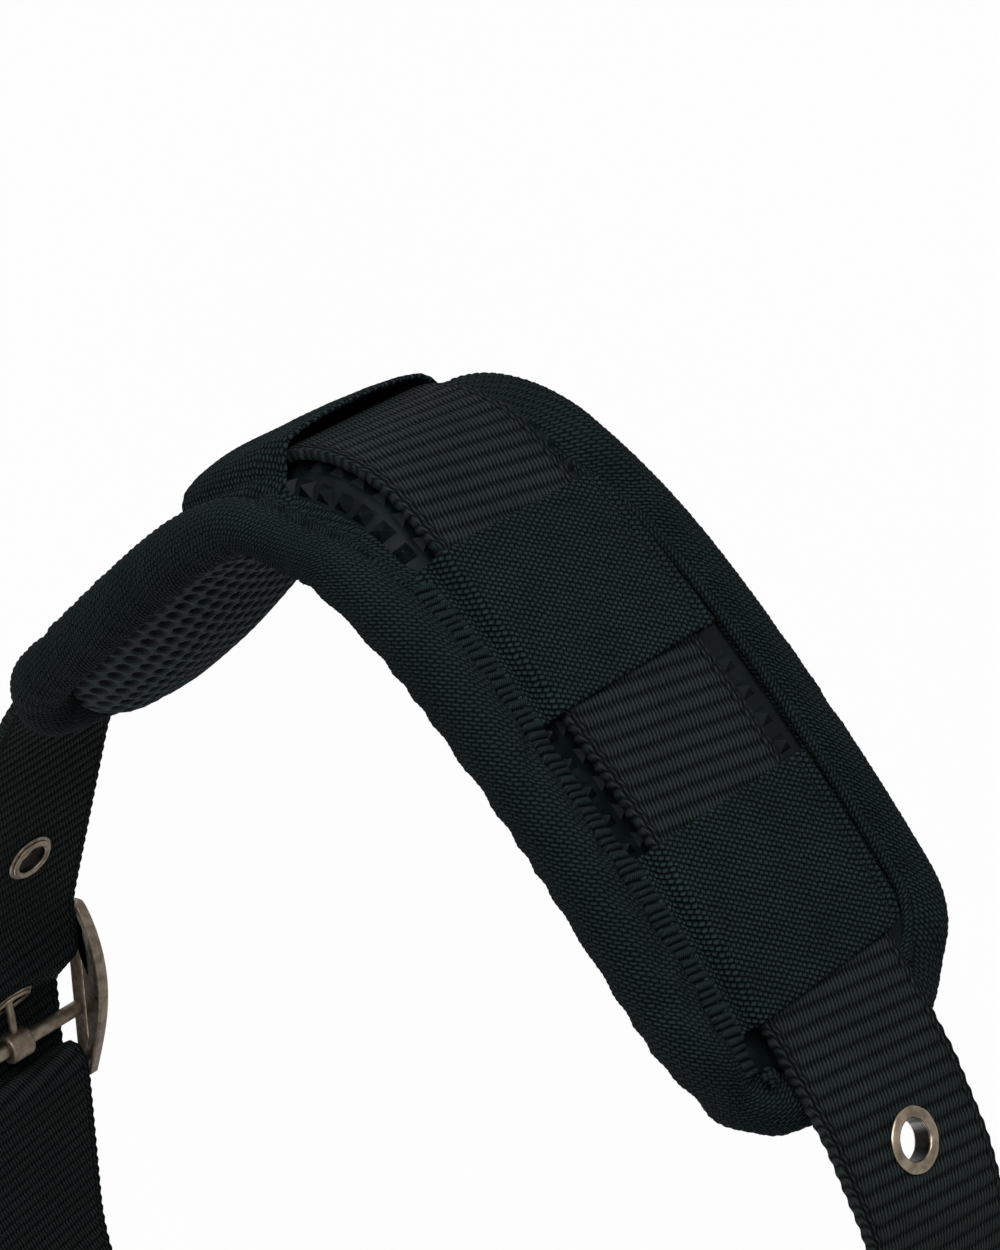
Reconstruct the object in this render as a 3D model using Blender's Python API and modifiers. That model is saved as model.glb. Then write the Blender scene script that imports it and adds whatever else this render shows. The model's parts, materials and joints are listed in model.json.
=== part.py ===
"""Padded work belt: webbing with eyelets, a removable back pad and a tongue buckle.

The belt is closed as a hoop and stands on the lower edge of its pad, as it does
on a bench. Flat belt coordinates are s along the belt (0 at the pad's centre,
rising clockwise seen from above), q outward from the middle of the webbing, and
z up from the middle of the webbing. BeltPath.place bends them round the hoop.
"""
import math

import bmesh
import bpy
from mathutils import Matrix, Vector

MM = 0.001

# Webbing
WEB_WIDTH = 50.0 * MM
WEB_THICK = 3.4 * MM
GAP = 0.3 * MM

# Hoop, walked both ways from the pad's centre: the lengths of its runs and how far each turns
PAD_HEADING = math.radians(10.3)
CREST_RADIUS = 38.9 * MM
CREST_AHEAD = math.radians(19.2)
CREST_BEHIND = math.radians(58.9)
SIDE_RUN = 175.0 * MM
SIDE_TURN = math.radians(18.2)
HIP_RADIUS = 110.0 * MM
HIP_TURN = math.radians(88.0)
LEFT_LEAD = 142.0 * MM
LEAD_TURN = math.radians(2.3)
LEFT_RUN = 60.0 * MM
LEFT_TURN = math.radians(25.0)
BUCKLE_STATION = 325.0 * MM
BUCKLE_RADIUS = 30.0 * MM
BUCKLE_TURN = math.radians(18.0)
BUCKLE_LEAD = 4.0 * MM
FIXED_RUN = 56.0 * MM

# Pad
PAD_LENGTH = 376.0 * MM
PAD_WIDTH = 102.0 * MM
BORDER_DIAMETER = 17.0 * MM
BORDER_CORNER = 28.0 * MM
BORDER_RAISE = 5.0 * MM
BORDER_PULL = 6.0 * MM
PULL_SPAN = 36.0 * MM
STUD_HEIGHT = 2.5 * MM
STUD_BASE = 4.4 * MM
STUD_PITCH = 8.0 * MM
STUD_ROWS = 2
PANEL_THICK = 1.6 * MM
CORE_EDGE = 3.5 * MM
CORE_CROWN = 7.5 * MM
LINER_EDGE = 1.5 * MM
LINER_CROWN = 5.5 * MM
REST_CUT = 0.5 * MM

# Elastic loops across the pad: two near its centre and two near its ends; one stands off on the bend
LOOP_WIDTH = 47.5 * MM
LOOP_THICK = 1.5 * MM
INNER_LOOP = 50.0 * MM
OUTER_INSET = 53.0 * MM
LOOP_RISE = 3.5 * MM

# Eyelets and their washers
EYELET_CLEAR = 15.0 * MM
EYELET_TO_BUCKLE = 44.0 * MM
EYELET_PITCH = 60.0 * MM
EYELET_HOLE = 10.4 * MM
EYELET_WALL = 0.6 * MM
EYELET_FLANGE = 16.5 * MM
EYELET_DOME = 0.9 * MM
EYELET_LIP = 0.8 * MM
EYELET_SEAT = 0.15 * MM
WASHER_THICK = 0.6 * MM
EYELET_FLAT = 10.0 * MM
RIGHT_EYELETS = 2
TAIL_EYELETS = 2

# Buckle: end bar, tongue bar and heel bar lie in one plane between two bowed side plates
BAR_DIAMETER = 5.0 * MM
TONGUE_BAR_OFFSET = 39.0 * MM
HEEL_BAR_OFFSET = 58.0 * MM
PLATE_THICK = 4.0 * MM
PLATE_CLEAR = 1.6 * MM
PLATE_NOSE = 3.6 * MM
PLATE_RISE = 2.6 * MM
PLATE_BOW = 8.0 * MM
TONGUE_DIAMETER = 2.8 * MM
TONGUE_OVERHANG = 4.0 * MM
COLLAR_WALL = 2.3 * MM
COLLAR_LENGTH = 9.0 * MM

# Free end, stepping out through the buckle and lying over the fixed end
SPLIT_OFFSET = 2.0 * MM
STEP_START = 12.0 * MM
STEP_ANGLE = math.radians(38.0)
BEND_RADIUS = 8.0 * MM
TAIL_GAP = 1.4 * MM
TAIL_LENGTH = 150.0 * MM
FOLD_LENGTH = 44.0 * MM
FOLD_EASE = 20.0 * MM

ROUND_STEPS = 12
TURN_STEP = math.radians(6.0)
SAG = 0.08 * MM

BAR_RADIUS = BAR_DIAMETER / 2
BAR_LEVEL = WEB_THICK / 2 + GAP + BAR_RADIUS
WRAP_RADIUS = BAR_RADIUS + GAP + WEB_THICK / 2
COLLAR_RADIUS = BAR_RADIUS + GAP + COLLAR_WALL
STUD_TIP = -WEB_THICK / 2 - GAP
PANEL_TOP = STUD_TIP - STUD_HEIGHT
CORE_TOP = PANEL_TOP - PANEL_THICK - GAP
BORDER_RADIUS = BORDER_DIAMETER / 2
BORDER_LEVEL = STUD_TIP - BORDER_RADIUS
FLOOR_LEVEL = PAD_WIDTH / 2 - REST_CUT
OUTER_LOOP = PAD_LENGTH / 2 - OUTER_INSET
EYELET_FIRST = PAD_LENGTH / 2 + EYELET_CLEAR


class BeltPath:
    """The hoop that the middle of the webbing follows, as straight runs and arcs."""

    def __init__(self):
        """Walk both ways from the pad's centre and close the hoop on the far side."""
        right = [(CREST_RADIUS * CREST_AHEAD, -CREST_AHEAD), (SIDE_RUN, -SIDE_TURN),
                 (HIP_RADIUS * HIP_TURN, -HIP_TURN)]
        self.left_length = BUCKLE_STATION + HEEL_BAR_OFFSET + FIXED_RUN
        bend_length = BUCKLE_RADIUS * BUCKLE_TURN
        before = BUCKLE_STATION - BUCKLE_LEAD - bend_length
        left = [(CREST_RADIUS * CREST_BEHIND, CREST_BEHIND), (LEFT_LEAD, LEAD_TURN), (LEFT_RUN, LEFT_TURN)]
        left += [(before - sum(length for length, turn in left), 0.0), (bend_length, BUCKLE_TURN),
                 (self.left_length - before - bend_length, 0.0)]
        hip, heading = walk(Vector((0.0, 0.0)), PAD_HEADING, right)
        back, left_heading = walk(Vector((0.0, 0.0)), PAD_HEADING + math.pi, left)
        last_turn = left_heading - math.pi - 2.0 * math.pi - heading
        straight, radius = close_hoop(hip, heading, back, last_turn)
        right += [(straight, 0.0), (radius * -last_turn, last_turn)]
        self.pieces = []
        run = -self.left_length
        for length, turn in reversed(left):
            self.pieces.append((run, length, -turn))
            run += length
        for length, turn in right:
            self.pieces.append((run, length, turn))
            run += length
        self.length = run + self.left_length
        self.start = back
        self.heading = left_heading - math.pi

    def frame(self, s):
        """Return the plan point and heading at a station along the hoop."""
        s = (s + self.left_length) % self.length - self.left_length
        point = self.start.copy()
        heading = self.heading
        for first, length, turn in self.pieces:
            step = min(length, s - first)
            point, heading = walk(point, heading, [(step, turn * step / length)])
            if s <= first + length:
                break
        return point, heading

    def place(self, point):
        """Bend one point in belt coordinates round the hoop."""
        plan, heading = self.frame(point.x)
        out = Vector((-math.sin(heading), math.cos(heading)))
        plan = plan + out * point.y
        return Vector((plan.x, plan.y, point.z))

    def matrix(self, s, q=0.0, tilt=0.0):
        """Return the placement of a rigid piece on the flat stretch at a station, tilted about z."""
        ends = [self.place(Vector((s + side * EYELET_FLAT, q, 0.0))) for side in (-1.0, 1.0)]
        along = ends[1] - ends[0]
        turn = Matrix.Rotation(math.atan2(along.y, along.x) + tilt, 4, "Z")
        return Matrix.Translation((ends[0] + ends[1]) / 2) @ turn

    def straight(self, s):
        """Return the placement of a rigid piece whose first point is on a straight run."""
        plan, heading = self.frame(s - BUCKLE_LEAD / 2)
        ahead = Vector((math.cos(heading), math.sin(heading))) * BUCKLE_LEAD / 2
        plan = plan + ahead
        return Matrix.Translation((plan.x, plan.y, 0.0)) @ Matrix.Rotation(heading, 4, "Z")

    def stations(self, first, last, flats=()):
        """Return stations from first to last, closer round the bends and flat at the eyelets."""
        marks = set()
        for lap in (-self.length, 0.0, self.length):
            for start, length, turn in self.pieces:
                step = min(TURN_STEP, math.sqrt(8 * SAG * abs(turn) / length))
                count = max(1, math.ceil(abs(turn) / step)) if turn else 1
                marks.update(start + lap + length * k / count for k in range(count + 1))
        marks = {m for m in marks if all(abs(m - flat) > 1.3 * EYELET_FLAT for flat in flats)}
        marks.update(flat + side * EYELET_FLAT for flat in flats for side in (-1.0, 1.0))
        chosen = [first]
        for mark in sorted(marks):
            if chosen[-1] + GAP < mark < last - GAP:
                chosen.append(mark)
        return chosen + [last]


def walk(point, heading, runs):
    """Follow straight runs and arcs, each a length and a turn, and return the end."""
    for length, turn in runs:
        half = turn / 2
        chord = length if abs(half) < 1e-9 else length * math.sin(half) / half
        along = heading + half
        point = point + chord * Vector((math.cos(along), math.sin(along)))
        heading += turn
    return point, heading


def close_hoop(start, heading, end, turn):
    """Return the straight run and the radius of the bend that join start to end."""
    along = Vector((math.cos(heading), math.sin(heading)))
    bend = walk(Vector((0.0, 0.0)), heading, [(-turn, turn)])[0]
    gap = end - start
    area = along.x * bend.y - along.y * bend.x
    straight = (gap.x * bend.y - gap.y * bend.x) / area
    radius = (along.x * gap.y - along.y * gap.x) / area
    return straight, radius


PATH = BeltPath()


def clear_scene():
    """Remove every object that the scene starts with."""
    for obj in list(bpy.data.objects):
        bpy.data.objects.remove(obj, do_unlink=True)


def new_collection(name):
    """Make a collection in the scene."""
    collection = bpy.data.collections.new(name)
    bpy.context.scene.collection.children.link(collection)
    return collection


def material(name, colour, roughness, metallic=0.0):
    """Make a plain material from a colour, a roughness and a metallic value."""
    made = bpy.data.materials.new(name)
    made.use_nodes = True
    shader = made.node_tree.nodes["Principled BSDF"]
    shader.inputs["Base Color"].default_value = (*colour, 1.0)
    shader.inputs["Roughness"].default_value = roughness
    shader.inputs["Metallic"].default_value = metallic
    made.diffuse_color = (*colour, 1.0)
    return made


clear_scene()
PARTS = new_collection("tool_belt")
CUTTERS = new_collection("tool_belt_cutters")
ORIGIN = bpy.data.objects.new("belt_origin", None)
PARTS.objects.link(ORIGIN)
WEBBING = material("black_webbing", (0.012, 0.013, 0.013), 0.75)
ELASTIC = material("black_elastic", (0.014, 0.015, 0.015), 0.85)
FABRIC = material("black_border_fabric", (0.012, 0.013, 0.014), 0.8)
RUBBER = material("black_stud_rubber", (0.008, 0.008, 0.008), 0.35)
FOAM = material("grey_foam", (0.08, 0.08, 0.08), 0.9)
MESH = material("black_mesh", (0.012, 0.012, 0.013), 0.9)
METAL = material("aged_steel", (0.30, 0.26, 0.21), 0.38, 1.0)


def add_part(name, bm, finish, collection=PARTS):
    """Turn a bmesh into a named part with its material."""
    bm.normal_update()
    bmesh.ops.recalc_face_normals(bm, faces=bm.faces)
    mesh = bpy.data.meshes.new(name)
    bm.to_mesh(mesh)
    bm.free()
    obj = bpy.data.objects.new(name, mesh)
    collection.objects.link(obj)
    if finish:
        mesh.materials.append(finish)
    obj.parent = ORIGIN
    return obj


def bend(bm):
    """Bend a flat bmesh in belt coordinates round the hoop."""
    for vert in bm.verts:
        vert.co = PATH.place(vert.co)


def baked(obj):
    """Replace an object's modifiers, or a curve, by the mesh that they make."""
    bpy.context.view_layer.update()
    seen = obj.evaluated_get(bpy.context.evaluated_depsgraph_get())
    bm = bmesh.new()
    mesh = bpy.data.meshes.new_from_object(seen)
    bm.from_mesh(mesh)
    bpy.data.meshes.remove(mesh)
    bmesh.ops.remove_doubles(bm, verts=bm.verts, dist=0.001 * MM)
    bpy.data.objects.remove(obj, do_unlink=True)
    return bm


def thicken(obj, thickness):
    """Give an open surface its thickness, half to each side."""
    solid = obj.modifiers.new("Thickness", "SOLIDIFY")
    solid.thickness = thickness
    solid.offset = 0.0
    solid.use_even_offset = True


def combine(obj, other, operation):
    """Cut an object by another, or join the other to it, and keep the other as a guide."""
    change = obj.modifiers.new(operation.title(), "BOOLEAN")
    change.operation = operation
    change.object = other
    change.solver = "EXACT"
    other.hide_render = True
    other.display_type = "WIRE"


def rounded_route(corners, radius):
    """Round the inner corners of a route of (s, q) points with arcs."""
    route = [Vector(corners[0])]
    for before, here, after in zip(corners, corners[1:], corners[2:]):
        here = Vector(here)
        into = (here - Vector(before)).normalized()
        out = (Vector(after) - here).normalized()
        turn = into.angle_signed(out)
        steps = math.ceil(abs(turn) / (1.5 * TURN_STEP))
        reach = radius * math.tan(abs(turn) / 2)
        first = here - into * reach
        heading = math.atan2(into.y, into.x)
        piece = radius * abs(turn) / steps
        route += [walk(first, heading, [(piece * k, -turn * k / steps)])[0] for k in range(steps + 1)]
    route.append(Vector(corners[-1]))
    return route


def ribbon(name, route, finish):
    """Make a strip of webbing along a route of (s, q) points."""
    bm = bmesh.new()
    low = [bm.verts.new((p.x, p.y, -WEB_WIDTH / 2)) for p in route]
    line = [bm.edges.new(pair) for pair in zip(low, low[1:])]
    raised = bmesh.ops.extrude_edge_only(bm, edges=line)["geom"]
    for vert in raised:
        if isinstance(vert, bmesh.types.BMVert):
            vert.co.z = WEB_WIDTH / 2
    bend(bm)
    obj = add_part(name, bm, finish)
    thicken(obj, WEB_THICK)
    return obj


def punch(obj, places):
    """Punch the eyelets' holes through a strip at the given placements."""
    for place in places:
        bm = bmesh.new()
        radius = EYELET_HOLE / 2 + EYELET_WALL + GAP
        bmesh.ops.create_cone(bm, cap_ends=True, segments=ROUND_STEPS, radius1=radius, radius2=radius,
                              depth=WEB_THICK * 3)
        bm.transform(place @ Matrix.Rotation(math.pi / 2, 4, "X"))
        cutter = add_part(f"{obj.name}_hole", bm, None, CUTTERS)
        combine(obj, cutter, "DIFFERENCE")


def turned(name, profile, place, finish):
    """Turn a closed profile of (radius, height) points; height runs outward from the belt."""
    bm = bmesh.new()
    ring = [bm.verts.new((r, 0.0, h)) for r, h in profile]
    for pair in zip(ring, ring[1:] + ring[:1]):
        bm.edges.new(pair)
    obj = add_part(name, bm, finish)
    screw = obj.modifiers.new("Turn", "SCREW")
    screw.steps = ROUND_STEPS
    screw.render_steps = ROUND_STEPS
    screw.use_merge_vertices = True
    screw.merge_threshold = 0.0001 * MM
    bm = baked(obj)
    bm.transform(Matrix.Rotation(-math.pi / 2, 4, "X"))
    obj = add_part(name, bm, finish)
    obj.matrix_world = place
    obj.data.shade_smooth()
    obj.data.set_sharp_from_angle(angle=math.radians(40))
    return obj


def eyelet(label, place):
    """Add one eyelet and the washer that it is closed over."""
    hole = EYELET_HOLE / 2
    barrel = hole + EYELET_WALL
    face = WEB_THICK / 2 + EYELET_SEAT
    flange = EYELET_FLANGE / 2
    back = -face - WASHER_THICK - EYELET_SEAT
    lip = barrel + 2.0 * EYELET_LIP
    turned(f"eyelet_{label}", [
        (hole + EYELET_DOME, face + EYELET_DOME), (flange - EYELET_DOME, face + EYELET_DOME),
        (flange, face + EYELET_DOME / 3), (flange - EYELET_DOME / 3, face), (barrel, face),
        (barrel, back), (lip, back), (lip - EYELET_LIP / 3, back - EYELET_LIP),
        (hole + EYELET_LIP, back - EYELET_LIP), (hole, back + EYELET_LIP), (hole, face)], place, METAL)
    turned(f"washer_{label}", [
        (barrel + EYELET_SEAT, -face), (flange, -face), (flange - EYELET_LIP, -face - WASHER_THICK),
        (barrel + EYELET_SEAT, -face - WASHER_THICK)], place, METAL)


def half_width(s, width):
    """Return the half width of the pad's inner outline at a station."""
    corner = BORDER_CORNER - BORDER_RADIUS
    past = max(0.0, abs(s) - (PAD_LENGTH / 2 - BORDER_DIAMETER - GAP - corner))
    past = min(past, corner)
    return width - corner + math.sqrt(corner ** 2 - past ** 2)


def pad_stations(end):
    """Return stations along the pad: a stud pitch apart, and closer round its ends."""
    corner = BORDER_CORNER - BORDER_RADIUS
    flat = end - corner
    count = max(2, round(2 * flat / STUD_PITCH))
    middle = [flat * (2 * k / count - 1) for k in range(count + 1)]
    turn = [flat + corner * math.sin(math.pi / 2 * k / 5) for k in range(1, 6)]
    return [-s for s in reversed(turn)] + middle + turn


def slab(stations, columns, top, bottom):
    """Make a flat pad layer: a grid over the stations, closed down to its lower face.

    columns are the shares of the half width; top and bottom give q by station and share.
    """
    inner = PAD_WIDTH / 2 - BORDER_DIAMETER - GAP
    bm = bmesh.new()
    bmesh.ops.create_grid(bm, x_segments=len(stations) - 1, y_segments=len(columns) - 1, size=1.0)
    for vert in bm.verts:
        s = stations[round((vert.co.x + 1) / 2 * (len(stations) - 1))]
        share = columns[round((vert.co.y + 1) / 2 * (len(columns) - 1))]
        vert.co = Vector((s, top(s, share), share * half_width(s, inner)))
    upper = list(bm.faces)
    made = bmesh.ops.extrude_face_region(bm, geom=upper)["geom"]
    for item in made:
        if isinstance(item, bmesh.types.BMVert):
            share = item.co.z / half_width(item.co.x, inner)
            item.co.y = bottom(item.co.x, share)
    return bm, upper


def swell(s, share):
    """Return how full the cushion is at a station and a share of its half width, 1 in the middle."""
    end = PAD_LENGTH / 2 - BORDER_DIAMETER - GAP
    return (1 - share ** 2) * (1 - (s / end) ** 6)


def core_bottom(s, share):
    """Return the level of the foam's body side, which the liner follows."""
    return CORE_TOP - CORE_EDGE - CORE_CROWN * swell(s, share)


def liner_bottom(s, share):
    """Return the level of the liner's body side."""
    return core_bottom(s, share) - GAP - LINER_EDGE - LINER_CROWN * swell(s, share)


def pad_layers():
    """Add the studded panel, the foam core and the mesh liner."""
    end = PAD_LENGTH / 2 - BORDER_DIAMETER - GAP
    inner = PAD_WIDTH / 2 - BORDER_DIAMETER - GAP
    marks = [1.0 - k * STUD_PITCH / inner for k in range(STUD_ROWS + 1)]
    columns = [-m for m in marks] + [0.0] + list(reversed(marks))
    stations = pad_stations(end)
    bm, upper = slab(stations, columns, lambda s, share: PANEL_TOP, lambda s, share: PANEL_TOP - PANEL_THICK)
    flat = end - BORDER_CORNER + BORDER_RADIUS
    studs = [face for face in upper
             if abs(face.calc_center_median().x) < flat and abs(face.calc_center_median().z) > marks[-1] * inner]
    bmesh.ops.inset_individual(bm, faces=studs, thickness=(STUD_PITCH - STUD_BASE) / 2)
    tips = bmesh.ops.poke(bm, faces=studs)["verts"]
    for tip in tips:
        tip.co.y = STUD_TIP
    bend(bm)
    add_part("stud_panel", bm, RUBBER)

    columns = [math.sin(math.pi / 2 * k / 4) for k in range(-4, 5)]
    bm, upper = slab(stations[::2], columns, lambda s, share: CORE_TOP, core_bottom)
    bend(bm)
    add_part("foam_core", bm, FOAM)

    bm, upper = slab(stations[::2], columns, lambda s, share: core_bottom(s, share) - GAP, liner_bottom)
    bend(bm)
    add_part("mesh_liner", bm, MESH)


def border_level(s, z):
    """Return the level of the border's middle: raised beside the webbing and passing under it.

    The bend of the crest pulls the lower side in.
    """
    crest = CREST_RADIUS * (CREST_AHEAD - CREST_BEHIND) / 2
    pull = BORDER_PULL * math.exp(-((s - crest) / PULL_SPAN) ** 2) if z < 0 else 0.0
    inner = WEB_WIDTH / 2 + BORDER_RADIUS + GAP
    share = (abs(z) - inner) / (PAD_WIDTH / 2 - BORDER_RADIUS - inner)
    share = min(1.0, max(0.0, share))
    return BORDER_LEVEL + (BORDER_RAISE - pull) * share * share * (3 - 2 * share)


def edge_border():
    """Add the stuffed fabric roll that runs all round the pad."""
    half_length = PAD_LENGTH / 2 - BORDER_RADIUS
    half = PAD_WIDTH / 2 - BORDER_RADIUS
    corner = BORDER_CORNER
    centres = [(half_length - corner, half - corner), (corner - half_length, half - corner),
               (corner - half_length, corner - half), (half_length - corner, corner - half)]
    steps = 9
    route = []
    for quarter, (s, z) in enumerate(centres):
        for k in range(steps + 1):
            angle = math.pi / 2 * (quarter + k / steps)
            route.append(Vector((s + corner * math.cos(angle), 0.0, z + corner * math.sin(angle))))
    curve = bpy.data.curves.new("edge_border", "CURVE")
    curve.dimensions = "3D"
    curve.bevel_depth = BORDER_RADIUS
    curve.bevel_resolution = 3
    spline = curve.splines.new("POLY")
    points = []
    for here, there in zip(route, route[1:] + route[:1]):
        count = max(1, round((there - here).length / (1.4 * STUD_PITCH)))
        points += [here.lerp(there, k / count) for k in range(count)]
    for point in points:
        point.y = border_level(point.x, point.z)
    spline.points.add(len(points) - 1)
    for spot, point in zip(spline.points, points):
        spot.co = (*point, 1.0)
    spline.use_cyclic_u = True
    obj = bpy.data.objects.new("edge_border", curve)
    PARTS.objects.link(obj)
    bm = baked(obj)
    bmesh.ops.bisect_plane(bm, geom=bm.verts[:] + bm.edges[:] + bm.faces[:], plane_co=(0, 0, -FLOOR_LEVEL),
                           plane_no=(0, 0, -1))
    for vert in bm.verts:
        vert.co.z = max(vert.co.z, -FLOOR_LEVEL)
    bend(bm)
    add_part("edge_border", bm, FABRIC)


def elastic_loop(label, centre, rise):
    """Add one elastic loop: sewn at both sides of the panel, with the webbing under it.

    rise is how far the middle of the loop stands off the webbing.
    """
    side = PAD_WIDTH / 2 - BORDER_DIAMETER - GAP
    over = WEB_THICK / 2 + GAP + LOOP_THICK / 2
    beside = STUD_TIP + GAP + LOOP_THICK / 2
    edge = WEB_WIDTH / 2 + GAP
    corners = [(side - LOOP_THICK / 2, PANEL_TOP + GAP + LOOP_THICK / 2), (side - 1.7 * LOOP_THICK, beside),
               (edge + 1.9 * LOOP_THICK, beside), (edge + 0.7 * LOOP_THICK, over - LOOP_THICK / 2), (edge, over)]
    arch = [(edge * math.cos(math.pi * k / 8), over + rise * math.sin(math.pi * k / 8)) for k in range(1, 8)]
    route = corners + (arch if rise else []) + [(-z, q) for z, q in reversed(corners)]
    first = centre - LOOP_WIDTH / 2
    last = centre + LOOP_WIDTH / 2
    rows = pad_stations(PAD_LENGTH / 2 - BORDER_DIAMETER - GAP)
    stations = [first] + [s for s in rows if first + GAP < s < last - GAP] + [last]
    bm = bmesh.new()
    line = [bm.verts.new((stations[0], q, z)) for z, q in route]
    edges = [bm.edges.new(pair) for pair in zip(line, line[1:])]
    for s in stations[1:]:
        made = bmesh.ops.extrude_edge_only(bm, edges=edges)["geom"]
        edges = [item for item in made if isinstance(item, bmesh.types.BMEdge)
                 and all(v in made for v in item.verts)]
        for item in made:
            if isinstance(item, bmesh.types.BMVert):
                item.co.x = s
    for vert in bm.verts:
        room = (half_width(vert.co.x, side) - edge) / (side - edge)
        past = max(0.0, abs(vert.co.z) - edge)
        vert.co.z = math.copysign(abs(vert.co.z) - past * (1 - room), vert.co.z)
    bend(bm)
    obj = add_part(f"elastic_loop_{label}", bm, ELASTIC)
    thicken(obj, LOOP_THICK)


def tongue_line():
    """Return the tongue's rise angle at rest, with its tip lying on the end bar."""
    rise = BAR_RADIUS + GAP + TONGUE_DIAMETER / 2
    return math.atan2(rise, TONGUE_BAR_OFFSET)


def tail_level():
    """Return how far out the free end lies where it passes the tongue's collar and the fold."""
    collar = COLLAR_RADIUS
    fold = WRAP_RADIUS + WEB_THICK / 2
    return BAR_LEVEL + max(collar, fold) + GAP + WEB_THICK / 2


def tongue_hole():
    """Return the offset along the buckle, and the level, where the tongue crosses the free end."""
    slope = math.tan(STEP_ANGLE)
    fall = math.tan(tongue_line())
    offset = (BAR_LEVEL + fall * TONGUE_BAR_OFFSET + slope * STEP_START) / (slope + fall)
    behind = WASHER_THICK + EYELET_SEAT + EYELET_LIP
    shift = (behind - EYELET_DOME) / 2 / math.tan(STEP_ANGLE + tongue_line())
    offset += shift * math.cos(STEP_ANGLE)
    return offset, slope * (offset - STEP_START)


def tail_resting():
    """Return how far out the free end lies over the two layers of the fixed end."""
    return 2 * (WEB_THICK + GAP) + TAIL_GAP


def tail_spots():
    """Return the stations of the eyelets in the free end past the buckle, by their labels."""
    heel = -BUCKLE_STATION - HEEL_BAR_OFFSET
    return {f"tail_{k + 1}": heel - (k + 1) * EYELET_PITCH for k in range(TAIL_EYELETS)}


def tail_route():
    """Return the free end's route as (s, q) points, from the end bar to its tip."""
    level = tail_level()
    resting = tail_resting()
    top = STEP_START + level / math.tan(STEP_ANGLE)
    heel = HEEL_BAR_OFFSET + BAR_DIAMETER
    corners = [(SPLIT_OFFSET + GAP, 0.0), (STEP_START, 0.0), (top, level), (heel, level),
               (heel + 2 * FOLD_EASE, resting), (heel + TAIL_LENGTH, resting)]
    route = rounded_route([(-BUCKLE_STATION - p, q) for p, q in corners], BEND_RADIUS)
    last = route.pop()
    marks = PATH.stations(last.x, route[-1].x, tail_spots().values())[:-1]
    return route + [Vector((s, resting)) for s in reversed(marks)]


def webbing():
    """Add the webbing: the belt with its fold round the heel bar, and the free end."""
    heel = PATH.length - BUCKLE_STATION - HEEL_BAR_OFFSET
    layer = WEB_THICK + GAP
    fold = [Vector((heel - FOLD_LENGTH, layer)), Vector((heel - FOLD_EASE, layer))]
    steps = 8
    wrap = [Vector((heel + WRAP_RADIUS * math.sin(math.pi * k / steps),
                    BAR_LEVEL + WRAP_RADIUS * math.cos(math.pi * k / steps))) for k in range(steps + 1)]
    spots = {f"right_{k + 1}": EYELET_FIRST + k * EYELET_PITCH for k in range(RIGHT_EYELETS)}
    spots["left_1"] = EYELET_TO_BUCKLE - BUCKLE_STATION
    marks = PATH.stations(-BUCKLE_STATION - SPLIT_OFFSET, heel, spots.values())[:-1]
    body = [Vector((s, 0.0)) for s in reversed(marks)]
    belt = ribbon("main_webbing", fold + wrap + body, WEBBING)
    sides = {label: PATH.matrix(s) for label, s in spots.items()}
    punch(belt, sides.values())

    tail = ribbon("webbing_tail", tail_route(), WEBBING)
    offset, level = tongue_hole()
    ends = {"tongue": PATH.matrix(-BUCKLE_STATION - offset, level, -STEP_ANGLE)}
    for label, s in tail_spots().items():
        ends[label] = PATH.matrix(s, tail_resting())
    punch(tail, ends.values())
    for label, place in {**sides, **ends}.items():
        eyelet(label, place)


def bar(radius, length, s, q):
    """Return a round bar across the buckle as a bmesh."""
    bm = bmesh.new()
    bmesh.ops.create_cone(bm, cap_ends=True, segments=ROUND_STEPS, radius1=radius, radius2=radius, depth=length)
    bm.transform(Matrix.Translation((s, q, 0.0)))
    return bm


def side_plate(z):
    """Return one bowed side plate of the buckle, straight outside and bowed on the body side."""
    outline = []
    nose = BAR_RADIUS + PLATE_NOSE - BAR_RADIUS
    first = nose
    last = -HEEL_BAR_OFFSET - nose
    outer = BAR_LEVEL + PLATE_RISE
    steps = 12
    for k in range(steps + 1):
        share = k / steps
        sag = math.sin(math.pi * share ** 0.75)
        outline.append((first + (last - first) * share, BAR_LEVEL - PLATE_RISE - PLATE_BOW * sag))
    outline += [(last + PLATE_RISE / 2, outer), (first - PLATE_RISE / 2, outer)]
    curve = bpy.data.curves.new("side_plate", "CURVE")
    curve.dimensions = "2D"
    curve.fill_mode = "BOTH"
    curve.extrude = PLATE_THICK / 2
    spline = curve.splines.new("POLY")
    spline.points.add(len(outline) - 1)
    for spot, (s, q) in zip(spline.points, outline):
        spot.co = (s, q, 0.0, 1.0)
    spline.use_cyclic_u = True
    obj = bpy.data.objects.new("side_plate", curve)
    CUTTERS.objects.link(obj)
    bm = baked(obj)
    bm.transform(Matrix.Translation((0.0, 0.0, z)))
    return bm


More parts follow.
